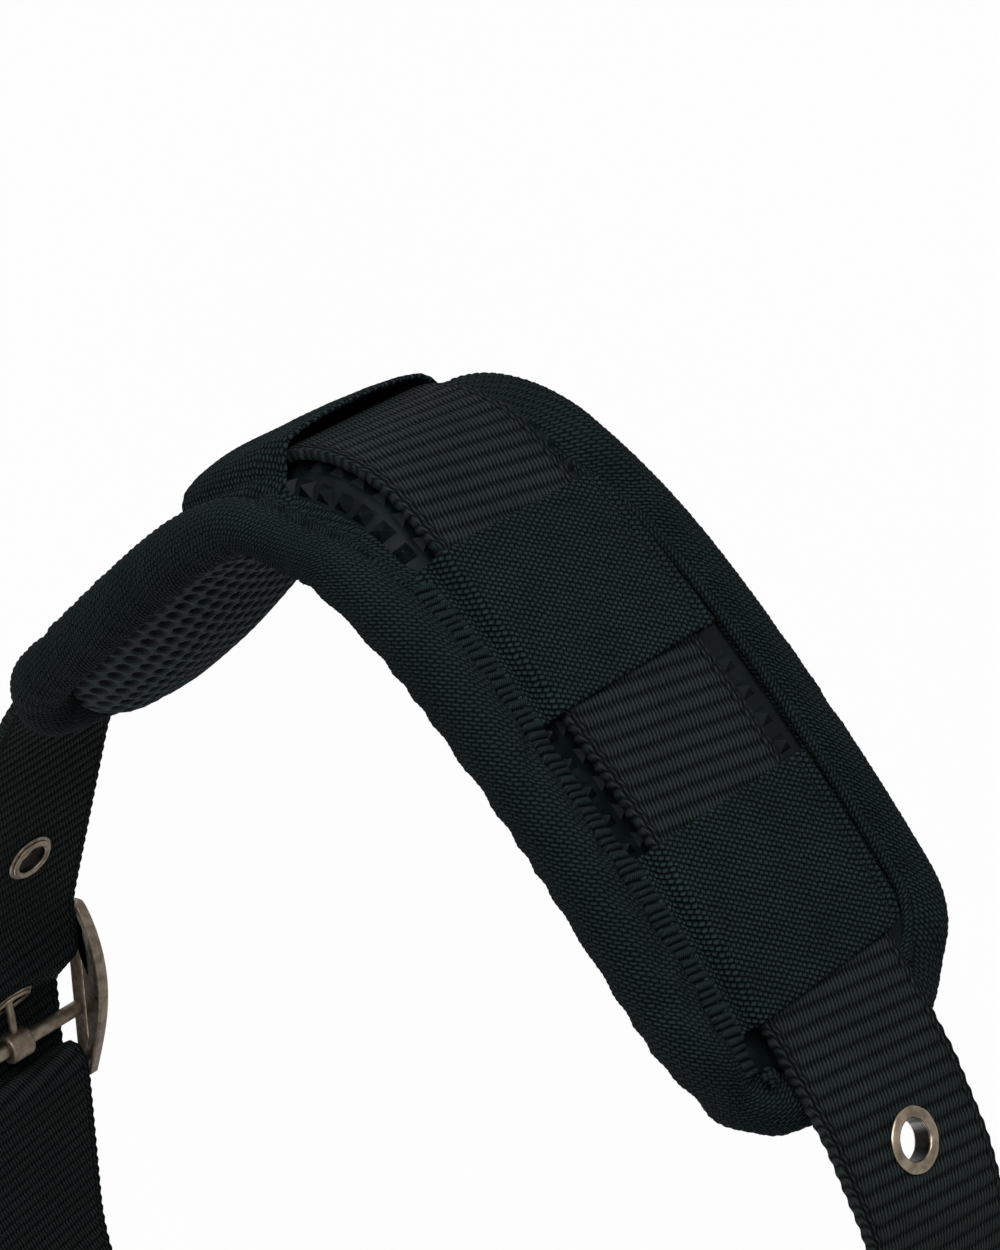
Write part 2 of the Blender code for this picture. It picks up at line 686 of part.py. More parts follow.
def buckle():
    """Add the buckle's frame, its tongue bar and its tongue."""
    place = PATH.straight(-BUCKLE_STATION)
    plate_mid = WEB_WIDTH / 2 + PLATE_CLEAR + PLATE_THICK / 2
    across = 2 * plate_mid + PLATE_THICK
    inside = across - PLATE_THICK
    frame = add_part("buckle_frame", bar(BAR_RADIUS, inside, 0.0, BAR_LEVEL), METAL)
    joined = [add_part("heel_bar", bar(BAR_RADIUS, inside, -HEEL_BAR_OFFSET, BAR_LEVEL), None, CUTTERS),
              add_part("upper_plate", side_plate(plate_mid), None, CUTTERS),
              add_part("lower_plate", side_plate(-plate_mid), None, CUTTERS)]
    for piece in joined:
        combine(frame, piece, "UNION")
    bore = add_part("tongue_bar_bore", bar(BAR_RADIUS + EYELET_SEAT, 2 * across, -TONGUE_BAR_OFFSET, BAR_LEVEL),
                    None, CUTTERS)
    combine(frame, bore, "DIFFERENCE")
    frame = add_part("buckle_frame", baked(frame), METAL)
    frame.name = "buckle_frame"
    settle(frame, place, Vector((-HEEL_BAR_OFFSET, BAR_LEVEL, 0.0)))
    for piece in joined + [bore]:
        bpy.data.objects.remove(piece, do_unlink=True)

    pin = add_part("tongue_bar", bar(BAR_RADIUS, across, -TONGUE_BAR_OFFSET, BAR_LEVEL), METAL)
    settle(pin, place, Vector((-TONGUE_BAR_OFFSET, BAR_LEVEL, 0.0)))

    axis = Vector((-TONGUE_BAR_OFFSET, BAR_LEVEL, 0.0))
    collar = add_part("tongue", bar(COLLAR_RADIUS, COLLAR_LENGTH, axis.x, axis.y), METAL)
    reach = TONGUE_BAR_OFFSET / math.cos(tongue_line()) + TONGUE_OVERHANG
    root = BAR_RADIUS + GAP + COLLAR_WALL / 2
    bm = bmesh.new()
    bmesh.ops.create_cone(bm, cap_ends=True, segments=ROUND_STEPS, radius1=TONGUE_DIAMETER / 2,
                          radius2=TONGUE_DIAMETER / 2, depth=reach - root)
    along = Matrix.Rotation(math.pi / 2, 4, "Y")
    rise = Matrix.Rotation(tongue_line(), 4, "Z")
    bm.transform(Matrix.Translation(axis) @ rise @ Matrix.Translation(((reach + root) / 2, 0.0, 0.0)) @ along)
    shaft = add_part("tongue_shaft", bm, None, CUTTERS)
    combine(collar, shaft, "UNION")
    bore = add_part("tongue_bore", bar(BAR_RADIUS + GAP, 2 * COLLAR_LENGTH, axis.x, axis.y), None, CUTTERS)
    combine(collar, bore, "DIFFERENCE")
    tongue = add_part("tongue", baked(collar), METAL)
    tongue.name = "tongue"
    settle(tongue, place, axis)
    for piece in (shaft, bore):
        bpy.data.objects.remove(piece, do_unlink=True)


def settle(obj, place, axis):
    """Put a buckle piece on the hoop, with its origin on the axis that it turns on."""
    obj.data.transform(Matrix.Translation(-axis))
    obj.matrix_world = place @ Matrix.Translation(axis)


def stand():
    """Stand the belt on its lower edge, centred on the frame's origin."""
    bpy.context.view_layer.update()
    depsgraph = bpy.context.evaluated_depsgraph_get()
    corners = []
    for obj in PARTS.objects:
        if obj.type == "MESH":
            seen = obj.evaluated_get(depsgraph)
            corners += [seen.matrix_world @ vert.co for vert in seen.data.vertices]
    middle = [(min(c[i] for c in corners) + max(c[i] for c in corners)) / 2 for i in (0, 1)]
    ORIGIN.location = (-middle[0], -middle[1], FLOOR_LEVEL)
    bpy.context.view_layer.update()


def main():
    """Build the belt from its webbing outward."""
    webbing()
    pad_layers()
    edge_border()
    elastic_loop("left_2", -OUTER_LOOP, 0.0)
    elastic_loop("left_1", -INNER_LOOP, LOOP_RISE)
    elastic_loop("right_1", INNER_LOOP, 0.0)
    elastic_loop("right_2", OUTER_LOOP, 0.0)
    buckle()
    stand()


main()
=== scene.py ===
"""Looks of the padded work belt: woven straps, stuffed pad, elastic loops and aged metal.

All sizes are in millimetres and become metres when a mesh is made. Flat belt
coordinates are s along the belt (0 at the pad's centre), q outward from the middle
of the webbing and z up from it, as in the part's own source. The pad's near side is
the one with z over zero, and its far side the other.
"""
from __future__ import annotations

import json
import logging
import math
from dataclasses import dataclass
from enum import Enum

import bpy
import numpy as np
from mathutils import Matrix, Vector

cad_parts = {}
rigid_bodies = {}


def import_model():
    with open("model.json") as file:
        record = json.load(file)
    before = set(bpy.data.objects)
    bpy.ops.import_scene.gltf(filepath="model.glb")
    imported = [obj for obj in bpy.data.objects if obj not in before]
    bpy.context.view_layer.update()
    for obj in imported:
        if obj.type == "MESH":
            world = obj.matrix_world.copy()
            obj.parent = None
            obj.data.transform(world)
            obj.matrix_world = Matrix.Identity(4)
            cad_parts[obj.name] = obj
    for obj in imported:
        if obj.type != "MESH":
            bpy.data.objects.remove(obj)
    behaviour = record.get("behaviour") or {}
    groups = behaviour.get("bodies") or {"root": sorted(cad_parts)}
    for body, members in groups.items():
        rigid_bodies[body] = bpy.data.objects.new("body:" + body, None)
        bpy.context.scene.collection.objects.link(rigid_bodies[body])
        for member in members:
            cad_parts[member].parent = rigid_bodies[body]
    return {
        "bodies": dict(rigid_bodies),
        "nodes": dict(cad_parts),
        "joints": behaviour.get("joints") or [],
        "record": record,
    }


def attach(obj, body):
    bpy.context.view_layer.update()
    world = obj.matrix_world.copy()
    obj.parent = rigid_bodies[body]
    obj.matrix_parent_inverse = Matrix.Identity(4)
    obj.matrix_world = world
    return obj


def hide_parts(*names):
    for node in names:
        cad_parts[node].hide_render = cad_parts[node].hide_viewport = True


LOG = logging.getLogger("belt")
MM = 0.001
FLAT = 10.0  # half the stretch of webbing that lies flat at an eyelet
CLOTH_GLOSS = {"Specular IOR Level": 0.015, "Sheen Weight": 0.004, "Sheen Roughness": 0.4}
Array = np.ndarray
Colour = tuple[float, float, float]
Span = tuple[float, float]
Node, Socket = bpy.types.Node, bpy.types.NodeSocket
Material, Object = bpy.types.Material, bpy.types.Object


class Body(Enum):
    """The rigid bodies that pieces ride on."""

    BELT = "belt"
    TAIL = "tail"
    TONGUE = "tongue"


class Slot(Enum):
    """The record's material slots."""

    WEBBING = "webbing"
    ELASTIC = "elastic"
    BORDER = "border"
    RUBBER = "rubber"
    MESH = "mesh"
    METAL = "metal"


class Form(Enum):
    """How a grid of points closes on itself."""

    SHEET = "open on all sides"
    TUBE = "looped round its columns, with a lid at each end"
    RING = "looped along its rows and round its columns"
    PLATE = "looped along its rows, with one face over the first column and one over the last"


def ramp(value: Array, start: float, span: float) -> Array:
    """Return a smooth step from 0 at a start to 1 a span further on."""
    share = np.clip((value - start) / span, 0.0, 1.0)
    return share * share * (3 - 2 * share)


def bell(value: Array, spot: float, span: float) -> Array:
    """Return a bell that is 1 at a spot and falls off over a span."""
    return np.exp(-((value - spot) / span) ** 2)


def ridges(value: Array, pitch: float) -> Array:
    """Return rounded ridges from 0 to 1, a pitch apart."""
    return np.abs(np.sin(np.pi * value / pitch))


def rounding(value: Array, start: float, radius: float, least: float) -> Array:
    """Return 1 up to a start, then a quarter circle's fall, down to the least."""
    return np.sqrt(np.clip(1.0 - ((value - start) / radius).clip(0.0) ** 2, least, 1.0))


def unit(arrows: Array) -> Array:
    """Return arrows of length 1."""
    return arrows / np.linalg.norm(arrows, axis=-1, keepdims=True)


def circle(count: int) -> Array:
    """Return angles evenly round a full turn."""
    return np.linspace(0.0, 2 * math.pi, count, endpoint=False)


def quarter(count: int) -> Array:
    """Return angles evenly from 0 to a quarter turn."""
    return np.linspace(0.0, math.pi / 2, count)


def stacked(*axes: Array | float) -> Array:
    """Return coordinates, brought to one shape, as points."""
    return np.stack(np.broadcast_arrays(*axes), axis=-1)


def folded(top: Array, low: Array) -> Array:
    """Return two layers of points as one section, there along the top and back along the low one."""
    return np.concatenate([top, low[:, ::-1]], axis=1)


def there_and_back(across: Array) -> Array:
    """Return the coordinates across a folded section, closed on its start."""
    return np.concatenate([across, across[..., ::-1], across[..., :1]], axis=-1)


def sides(line: Array, closed: bool = False) -> Array:
    """Return the unit normals along a line of two-dimensional points."""
    ahead = np.roll(line, -1, axis=0) - np.roll(line, 1, axis=0) if closed else np.gradient(line, axis=0)
    ahead = unit(ahead)
    return np.stack([ahead[:, 1], -ahead[:, 0]], axis=-1)


def skins(line: Array, above: Array, below: Array) -> list[tuple[Array, Array]]:
    """Return the two skins of a sheet, so high above and below its middle line, as pairs of coordinates."""
    normal = sides(line)
    return [(line[:, :1] + side * normal[:, :1] * height, line[:, 1:] + side * normal[:, 1:] * height)
            for side, height in ((1.0, above), (-1.0, below))]


def travelled(line: Array) -> Array:
    """Return the distance along a line at each of its points."""
    return np.concatenate([[0.0], np.cumsum(np.linalg.norm(np.diff(line, axis=0), axis=1))])


def even(route: Array, step: float) -> tuple[Array, Array]:
    """Resample a route evenly and return its points with the distances along it."""
    run = travelled(route)
    spots = np.linspace(0.0, run[-1], max(2, round(run[-1] / step)) + 1)
    return np.stack([np.interp(spots, run, route[:, k]) for k in range(route.shape[1])], axis=-1), spots


def rounded(corners: list[Span], radius: float) -> Array:
    """Round the inner corners of a route of two-dimensional points, short of the middles of its runs."""
    points = [np.array(corners[0], float)]
    for before, here, after in zip(corners, corners[1:], corners[2:]):
        spot = np.array(here, float)
        into, out = unit(spot - before), unit(after - spot)
        half = math.acos(max(-1.0, min(1.0, float(into @ out)))) / 2
        runs = [0.45 * np.linalg.norm(spot - before), 0.45 * np.linalg.norm(after - spot)]
        reach = min(radius * math.tan(half), *runs)
        for k in np.linspace(0.0, 1.0, 9):
            ends = (1 - k) ** 2 * (spot - into * reach) + k ** 2 * (spot + out * reach)
            points.append(ends + 2 * k * (1 - k) * spot)
    points.append(np.array(corners[-1], float))
    return np.array(points)


def refine(points: Array, count: int, axis: int) -> Array:
    """Resample a looped run of points smoothly, through its Fourier series."""
    series = np.fft.rfft(points, axis=axis)
    return np.fft.irfft(series, n=count, axis=axis) * count / points.shape[axis]


def stretch(points: Array, count: int, axis: int) -> Array:
    """Resample an open run of points evenly, on straight lines."""
    points = np.moveaxis(points, axis, 0)
    spot = np.linspace(0.0, points.shape[0] - 1.0, count)
    low = np.minimum(spot.astype(int), points.shape[0] - 2)
    share = (spot - low).reshape(-1, *[1] * (points.ndim - 1))
    return np.moveaxis(points[low] * (1 - share) + points[low + 1] * share, 0, axis)


def turned(profile: Array, steps: int, facets: float = 0.0, flats: float = 9.0) -> Array:
    """Turn a profile of (radius, height) points about the height's axis, with faint flats or none."""
    angle = circle(steps)[:, None]
    radius = profile[:, 0] * (1.0 - facets * (0.5 - 0.5 * np.cos(flats * angle)))
    return stacked(radius * np.cos(angle), radius * np.sin(angle), profile[:, 1])


@dataclass(frozen=True)
class Hoop:
    """Runs and turns of the hoop, in millimetres and degrees."""

    heading: float = 10.3
    crest_radius: float = 38.9
    crest_ahead: float = 19.2
    crest_behind: float = 58.9
    side_run: float = 175.0
    side_turn: float = 18.2
    hip_radius: float = 110.0
    hip_turn: float = 88.0
    left_lead: float = 142.0
    lead_turn: float = 2.3
    left_run: float = 60.0
    left_turn: float = 25.0
    buckle_station: float = 325.0
    buckle_radius: float = 30.0
    buckle_turn: float = 18.0
    buckle_lead: float = 4.0
    heel_bar: float = 58.0
    fixed_run: float = 56.0
    origin: tuple[float, float, float] = (-77.173, 230.11, 50.5)


class BeltPath:
    """The hoop that the middle of the webbing follows, as straight runs and arcs."""

    def __init__(self, hoop: Hoop) -> None:
        """Walk both ways from the pad's centre and close the hoop on the far side.

        Args:
            hoop: The lengths and turns of the hoop's runs.
        """
        self.hoop = hoop
        self.left_length = hoop.buckle_station + hoop.heel_bar + hoop.fixed_run
        ahead, behind = math.radians(hoop.crest_ahead), math.radians(hoop.crest_behind)
        hip, turn = math.radians(hoop.hip_turn), math.radians(hoop.buckle_turn)
        right = [(hoop.crest_radius * ahead, -ahead), (hoop.side_run, -math.radians(hoop.side_turn)),
                 (hoop.hip_radius * hip, -hip)]
        bend = hoop.buckle_radius * turn
        before = hoop.buckle_station - hoop.buckle_lead - bend
        left = [(hoop.crest_radius * behind, behind), (hoop.left_lead, math.radians(hoop.lead_turn)),
                (hoop.left_run, math.radians(hoop.left_turn))]
        left += [(before - sum(run for run, _ in left), 0.0), (bend, turn),
                 (self.left_length - before - bend, 0.0)]
        start = math.radians(hoop.heading)
        hip_end, heading = self._walk(0j, start, right)
        back, left_heading = self._walk(0j, start + math.pi, left)
        last = left_heading - 3.0 * math.pi - heading
        along = complex(math.cos(heading), math.sin(heading))
        arc = self._walk(0j, heading, [(-last, last)])[0]
        gap = back - hip_end
        area = along.real * arc.imag - along.imag * arc.real
        straight = (gap.real * arc.imag - gap.imag * arc.real) / area
        radius = (along.real * gap.imag - along.imag * gap.real) / area
        runs = [(length, -bent) for length, bent in reversed(left)]
        runs += right + [(straight, 0.0), (radius * -last, last)]
        self.length = sum(run for run, _ in runs)
        point, heading = back, left_heading - math.pi
        first, rows = -self.left_length, []
        for length, bent in runs:
            rows.append((first, point.real, point.imag, heading, bent / length))
            point, heading = self._walk(point, heading, [(length, bent)])
            first += length
        self.table = np.array(rows)

    @staticmethod
    def _walk(point: complex, heading: float, runs: list[Span]) -> tuple[complex, float]:
        """Follow runs, each a length and a turn, and return the end and its heading."""
        for length, turn in runs:
            chord = length * float(np.sinc(turn / 2 / math.pi))
            point += chord * complex(math.cos(heading + turn / 2), math.sin(heading + turn / 2))
            heading += turn
        return point, heading

    def frame(self, s: Array) -> tuple[Array, Array, Array]:
        """Return the plan coordinates and headings at stations along the hoop."""
        s = (np.asarray(s, float) + self.left_length) % self.length - self.left_length
        row = self.table[np.clip(np.searchsorted(self.table[:, 0], s, side="right") - 1, 0, None)]
        step = s - row[..., 0]
        half = row[..., 4] * step / 2
        chord = step * np.sinc(half / np.pi)
        along = row[..., 3] + half
        return row[..., 1] + chord * np.cos(along), row[..., 2] + chord * np.sin(along), along + half

    def place(self, s: Array, q: Array, z: Array) -> Array:
        """Bend points in belt coordinates round the hoop.

        Args:
            s: Stations along the belt.
            q: Distances outward from the middle of the webbing.
            z: Heights above the middle of the webbing.

        Returns:
            The points in the part's own frame, in millimetres.
        """
        s, q, z = np.broadcast_arrays(np.asarray(s, float), q, z)
        x, y, heading = self.frame(s)
        x0, y0, z0 = self.hoop.origin
        return np.stack([x - q * np.sin(heading) + x0, y + q * np.cos(heading) + y0, z + z0], axis=-1)

    def outward(self, s: Array, z: Array) -> Array:
        """Return the outward direction at stations and heights."""
        return self.place(s, 1.0, z) - self.place(s, 0.0, z)

    def matrix(self, s: float, q: float = 0.0, tilt: float = 0.0) -> Matrix:
        """Return the placement, in metres, of a rigid piece on the flat stretch at a station."""
        ends = self.place(np.array([s - FLAT, s + FLAT]), q, 0.0)
        along = ends[1] - ends[0]
        turn = Matrix.Rotation(math.atan2(along[1], along[0]) + tilt, 4, "Z")
        return Matrix.Translation(Vector(ends.mean(axis=0)) * MM) @ turn

    def straight(self) -> Matrix:
        """Return the placement, in metres, of the buckle on its straight run."""
        hoop, half = self.hoop, self.hoop.buckle_lead / 2
        x, y, heading = (float(v) for v in self.frame(np.array(-hoop.buckle_station - half)))
        x += math.cos(heading) * half + hoop.origin[0]
        y += math.sin(heading) * half + hoop.origin[1]
        return Matrix.Translation(Vector((x, y, hoop.origin[2])) * MM) @ Matrix.Rotation(heading, 4, "Z")


class Value:
    """A number in a shader, on which Python's operators make Math nodes."""

    def __init__(self, shading: Shading, socket: Socket) -> None:
        """Wrap an output socket of a shading's tree."""
        self.shading = shading
        self.socket = socket

    def _math(self, operation: str, *others: Value | float, first: float | None = None) -> Value:
        """Make a Math node with this value, after a number where one comes first."""
        terms = [self, *others] if first is None else [first, self, *others]
        return self.shading.value("ShaderNodeMath", {"operation": operation}, dict(enumerate(terms)))

    def __add__(self, other: Value | float) -> Value:
        return self._math("ADD", other)

    __radd__ = __add__

    def __sub__(self, other: Value | float) -> Value:
        return self._math("SUBTRACT", other)

    def __rsub__(self, other: float) -> Value:
        return self._math("SUBTRACT", first=other)

    def __mul__(self, other: Value | float) -> Value:
        return self._math("MULTIPLY", other)

    __rmul__ = __mul__

    def __truediv__(self, other: Value | float) -> Value:
        return self._math("DIVIDE", other)

    def __rtruediv__(self, other: float) -> Value:
        return self._math("DIVIDE", first=other)

    def __pow__(self, other: Value | float) -> Value:
        return self._math("POWER", other)

    def __abs__(self) -> Value:
        return self._math("ABSOLUTE")

    def fraction(self) -> Value:
        """Return the part after the point."""
        return self._math("FRACT")

    def parity(self) -> Value:
        """Return 1 where the whole part is odd and 0 where it is even."""
        return (self._math("FLOOR") * 0.5).fraction() * 2.0

    def wave(self, pitch: float) -> Value:
        """Return rounded ridges from 0 to 1, a pitch apart."""
        return abs((self * (math.pi / pitch))._math("SINE"))

    def bricks(self, across: Value, length: float, width: float) -> Value:
        """Return rounded dashes from 0 to 1 along this value, laid in rows like bricks."""
        row = across / width
        dash = (self / length + row.parity() * 0.5).wave(1.0)
        return dash ** 0.6 * row.wave(1.0) ** 0.8

    def larger(self, other: Value | float) -> Value:
        """Return the larger of two values."""
        return self._math("MAXIMUM", other)

    def ramp(self, low: float, high: float) -> Value:
        """Return a smooth step from 0 at low to 1 at high."""
        return self.shading.value("ShaderNodeMapRange", {"interpolation_type": "SMOOTHSTEP"},
                                  {"Value": self, "From Min": low, "From Max": high})


class Shading:
    """The nodes of one material or world, all made through a single method."""

    def __init__(self, owner: Material | bpy.types.World) -> None:
        """Start with the nodes that a new material or world comes with."""
        self.owner = owner
        owner.use_nodes = True
        self.tree = owner.node_tree

    def node(self, kind: str, settings: dict[str, object], inputs: dict[str | int, object]) -> Node:
        """Make a node: its settings first, then its socket values and links."""
        made = self.tree.nodes.new(kind)
        for key, setting in settings.items():
            setattr(made, key, setting)
        return self.feed(made, inputs)

    def feed(self, node: Node, inputs: dict[str | int, object]) -> Node:
        """Link sockets and wrapped values to a node's inputs, or set the inputs' own values."""
        for key, given in inputs.items():
            if isinstance(given, Value):
                given = given.socket
            if isinstance(given, Socket):
                self.tree.links.new(given, node.inputs[key])
            else:
                node.inputs[key].default_value = given
        return node

    def value(self, kind: str, settings: dict[str, object], inputs: dict[str | int, object],
              output: str | int = 0) -> Value:
        """Make a node and wrap one of its outputs as a number."""
        return Value(self, self.node(kind, settings, inputs).outputs[output])

    def chart(self) -> tuple[Value, Value]:
        """Return the cloth's own coordinates, in millimetres along and across it."""
        chart = self.node("ShaderNodeUVMap", {"uv_map": "cloth"}, {})
        split = self.node("ShaderNodeSeparateXYZ", {}, {0: chart.outputs[0]})
        return Value(self, split.outputs[0]), Value(self, split.outputs[1])

    def turned(self, angle: float, wander: float) -> tuple[Value, Value]:
        """Return the cloth's coordinates turned by an angle, wandering by so many millimetres."""
        u, v = self.chart()
        c, s = math.cos(angle), math.sin(angle)
        drift = (self.noise(220.0, 1.0) - 0.5) * (2.0 * wander)
        sway = (self.noise(310.0, 1.0) - 0.5) * (2.0 * wander)
        return u * c + v * s + drift, v * c - u * s + sway

    def noise(self, scale: float, detail: float = 3.0) -> Value:
        """Return noise from 0 to 1 over the piece, with so many cells to a metre."""
        spot = self.node("ShaderNodeTexCoord", {}, {})
        return self.value("ShaderNodeTexNoise", {}, {"Vector": spot.outputs["Object"], "Scale": scale,
                                                     "Detail": detail})

    def finish(self, tones: tuple[Colour, Colour], tone: Value, roughness: Value, height: Value, depth: float,
               constants: dict[str, float]) -> Material:
        """Feed the material's Principled shader and return the material.

        Args:
            tones: The colours where the tone is 0 and 1.
            tone: The mix of the two colours over the surface.
            roughness: The roughness over the surface.
            height: The relief from 0 to 1.
            depth: The relief's depth, in millimetres.
            constants: Shader inputs that are the same all over.

        Returns:
            The finished material.
        """
        low, high = ((*colour, 1.0) for colour in tones)
        mix = self.node("ShaderNodeMix", {"data_type": "RGBA"}, {0: tone, 6: low, 7: high})
        bump = self.node("ShaderNodeBump", {}, {"Height": height, "Distance": depth * MM, "Strength": 1.0})
        varying = {"Base Color": mix.outputs[2], "Roughness": roughness, "Normal": bump.outputs[0]}
        self.feed(self.tree.nodes["Principled BSDF"], varying | constants)
        return self.owner


@dataclass(frozen=True)
class WebbingFinish:
    """Cross-ribbed nylon webbing of short slanted threads."""

    tones: tuple[Colour, Colour] = ((0.0006, 0.0012, 0.0012), (0.0225, 0.0310, 0.0298))
    rib: float = 4.2
    skew: float = 0.17
    thread: float = 1.15
    selvedge: float = 22.0
    cord: float = 1.5

    def material(self) -> Material:
        """Make the material."""
        shade = Shading(bpy.data.materials.new("woven_webbing"))
        u, v = shade.chart()
        drift = (shade.noise(300.0, 1.0) - 0.5) * 0.9
        phase = (u + v * self.skew + drift * 0.4) / self.rib
        ridge = phase.wave(1.0)
        strand = ((v + drift) / self.thread - phase.fraction() * 1.1).wave(1.0).ramp(0.15, 0.9)
        # The slits between threads and the troughs between ribs are darkened in the tone: painted shade.
        slit = (1.0 - strand) * (0.6 + (1.0 - ridge) * 0.7)
        body = (1.0 - slit).larger(0.0) * (0.5 + ridge.ramp(0.0, 0.8) * 0.5)
        out = abs(v) + drift * 0.6
        twist = (out / self.cord + u / 2.6).wave(1.0)
        edge = ((out - self.selvedge) / self.cord).wave(1.0).ramp(0.1, 0.9) * (0.15 + twist * 0.85)
        side = out.ramp(self.selvedge - 0.2, self.selvedge + 0.1)
        height = body * (1.0 - side) + edge * side
        patch, fibre = shade.noise(60.0), shade.noise(2600.0, 2.0)
        # Tone follows the relief, dark in its hollows as painted shade; patch and fibre noise are the
        # webbing's own uneven tone.
        tone = height * (0.55 + patch * 0.5) * (0.55 + fibre * 0.75)
        return shade.finish(self.tones, tone, 0.8 - height * 0.25, height + fibre * 0.25, 0.8, CLOTH_GLOSS)


@dataclass(frozen=True)
class ElasticFinish:
    """Nubby woven elastic, its nubs in diagonal rows."""

    tones: tuple[Colour, Colour] = ((0.0009, 0.0018, 0.0020), (0.024, 0.0385, 0.041))
    pitch: float = 1.3
    turn: float = math.radians(53.0)
    wander: float = 0.45

    def material(self) -> Material:
        """Make the material."""
        shade = Shading(bpy.data.materials.new("nubby_elastic"))
        along, across = shade.turned(self.turn, self.wander)
        nub = along.bricks(across, self.pitch * 1.1, self.pitch)
        fibre, patch = shade.noise(3200.0, 2.0), shade.noise(80.0)
        speck = fibre.ramp(0.60, 0.78)
        # Tone follows the nubs, dark between them as painted shade; fibre, patch and speck noise are the
        # elastic's own tone.
        tone = nub.ramp(0.1, 0.95) * (0.45 + patch * 0.6) * (0.5 + fibre * 0.6) + speck * nub * 0.5
        return shade.finish(self.tones, tone, 0.95 - nub * 0.2, nub + fibre * 0.4, 0.6,
                            CLOTH_GLOSS | {"Sheen Roughness": 0.5})


@dataclass(frozen=True)
class BorderFinish:
    """Coarse nylon cloth cut on the bias, its yarns lying like bricks."""

    tones: tuple[Colour, Colour] = ((0.0009, 0.0017, 0.0018), (0.0165, 0.0260, 0.0262))
    length: float = 2.1
    width: float = 1.0
    turn: float = math.radians(-50.0)
    wander: float = 0.35

    def material(self) -> Material:
        """Make the material."""
        shade = Shading(bpy.data.materials.new("border_cloth"))
        along, across = shade.turned(self.turn, self.wander)
        yarn = along.bricks(across, self.length, self.width)
        fibre, patch = shade.noise(2600.0, 2.0), shade.noise(70.0)
        # Tone follows the yarns, dark in the gaps between them as painted shade; fibre and patch noise are
        # the cloth's own tone.
        tone = (0.06 + yarn.ramp(0.05, 0.95) * 0.94) * (0.5 + patch * 0.6) * (0.6 + fibre * 0.6)
        return shade.finish(self.tones, tone, 0.86 - yarn * 0.2, yarn + fibre * 0.25, 0.45, CLOTH_GLOSS)


@dataclass(frozen=True)
class ThreadFinish:
    """Twisted sewing thread, its strands slanting across each stitch."""

    tones: tuple[Colour, Colour] = ((0.0008, 0.0015, 0.0015), (0.0150, 0.0230, 0.0230))
    strand: float = 0.55
    slant: float = math.radians(28.0)
    stitch: float = 2.1

    def material(self) -> Material:
        """Make the material."""
        shade = Shading(bpy.data.materials.new("sewing_thread"))
        u, _ = shade.chart()
        along, across = shade.turned(self.slant, 0.15)
        strand = across.wave(self.strand) * (0.7 + along.wave(1.4) * 0.3)
        fibre = shade.noise(2600.0, 2.0)
        # Tone follows the strands and darkens the gaps between stitches: painted shade; fibre noise is the
        # thread's own tone.
        tone = (0.3 + strand * 0.7) * (0.5 + fibre * 0.7) * u.wave(self.stitch).ramp(0.1, 0.8)
        return shade.finish(self.tones, tone, 0.85 - strand * 0.2, strand + fibre * 0.2, 0.15, CLOTH_GLOSS)


@dataclass(frozen=True)
class MeshFinish:
    """Dimpled knit mesh over foam, with painted shade in its dimples and in the knit's grooves."""

    tones: tuple[Colour, Colour] = ((0.0005, 0.0009, 0.0010), (0.045, 0.064, 0.067))
    stitch: float = 0.9

    def material(self) -> Material:
        """Make the material."""
        shade = Shading(bpy.data.materials.new("spacer_mesh"))
        u, v = shade.chart()
        knit = (u + v * 0.5).wave(self.stitch) * (u - v * 0.5).wave(self.stitch)
        fibre = shade.noise(2400.0, 2.0)
        dip = shade.value("ShaderNodeAttribute", {"attribute_name": "dip"}, {}, "Fac")
        # Darker in the knit's grooves and much darker deep in the dimples: painted shade; the fibre noise is
        # the mesh's own uneven tone.
        tone = (0.55 + knit * 0.45) * (0.6 + fibre * 0.6) * (1.0 - dip) ** 1.6
        return shade.finish(self.tones, tone, 0.82 - knit * 0.12, knit + fibre * 0.3, 0.15,
                            {"Specular IOR Level": 0.03, "Sheen Weight": 0.05, "Sheen Roughness": 0.3})


@dataclass(frozen=True)
class RubberFinish:
    """Black moulded rubber with dust in its grain."""

    tones: tuple[Colour, Colour] = ((0.0008, 0.0017, 0.0019), (0.0060, 0.0108, 0.0114))

    def material(self) -> Material:
        """Make the material."""
        shade = Shading(bpy.data.materials.new("moulded_rubber"))
        grain, dust = shade.noise(1800.0), shade.noise(140.0).ramp(0.45, 0.75)
        tone, roughness = dust * 0.5 + grain * 0.3, 0.42 + dust * 0.18 + grain * 0.08
        return shade.finish(self.tones, tone, roughness, grain, 0.05, {"Specular IOR Level": 0.06})


@dataclass(frozen=True)
class MetalFinish:
    """Plated steel gone brown with age, brighter where it rubs."""

    name: str
    tones: tuple[Colour, Colour]
    rough: float

    def material(self) -> Material:
        """Make the material."""
        shade = Shading(bpy.data.materials.new(self.name))
        stain = shade.noise(130.0, 5.0) * 0.5 + shade.noise(420.0, 4.0) * 0.5
        pit = shade.noise(1500.0, 4.0)
        rub = shade.value("ShaderNodeNewGeometry", {}, {}, "Pointiness").ramp(0.46, 0.58)
        tone = stain.ramp(0.38, 0.64) * 0.6 + rub * 0.3 + pit * 0.15
        roughness = self.rough + pit * 0.12 - rub * 0.06
        return shade.finish(self.tones, tone, roughness, pit, 0.03, {"Metallic": 1.0})


AGED_STEEL = MetalFinish("aged_steel", ((0.085, 0.066, 0.048), (0.30, 0.245, 0.185)), 0.27)
# Darker, rougher steel: the buckle's own worn finish, and painted shade on the eyelets of the buckle's side.
WORN_AND_SHADED_STEEL = MetalFinish("worn_and_shaded_steel", ((0.070, 0.054, 0.040), (0.23, 0.188, 0.142)), 0.44)
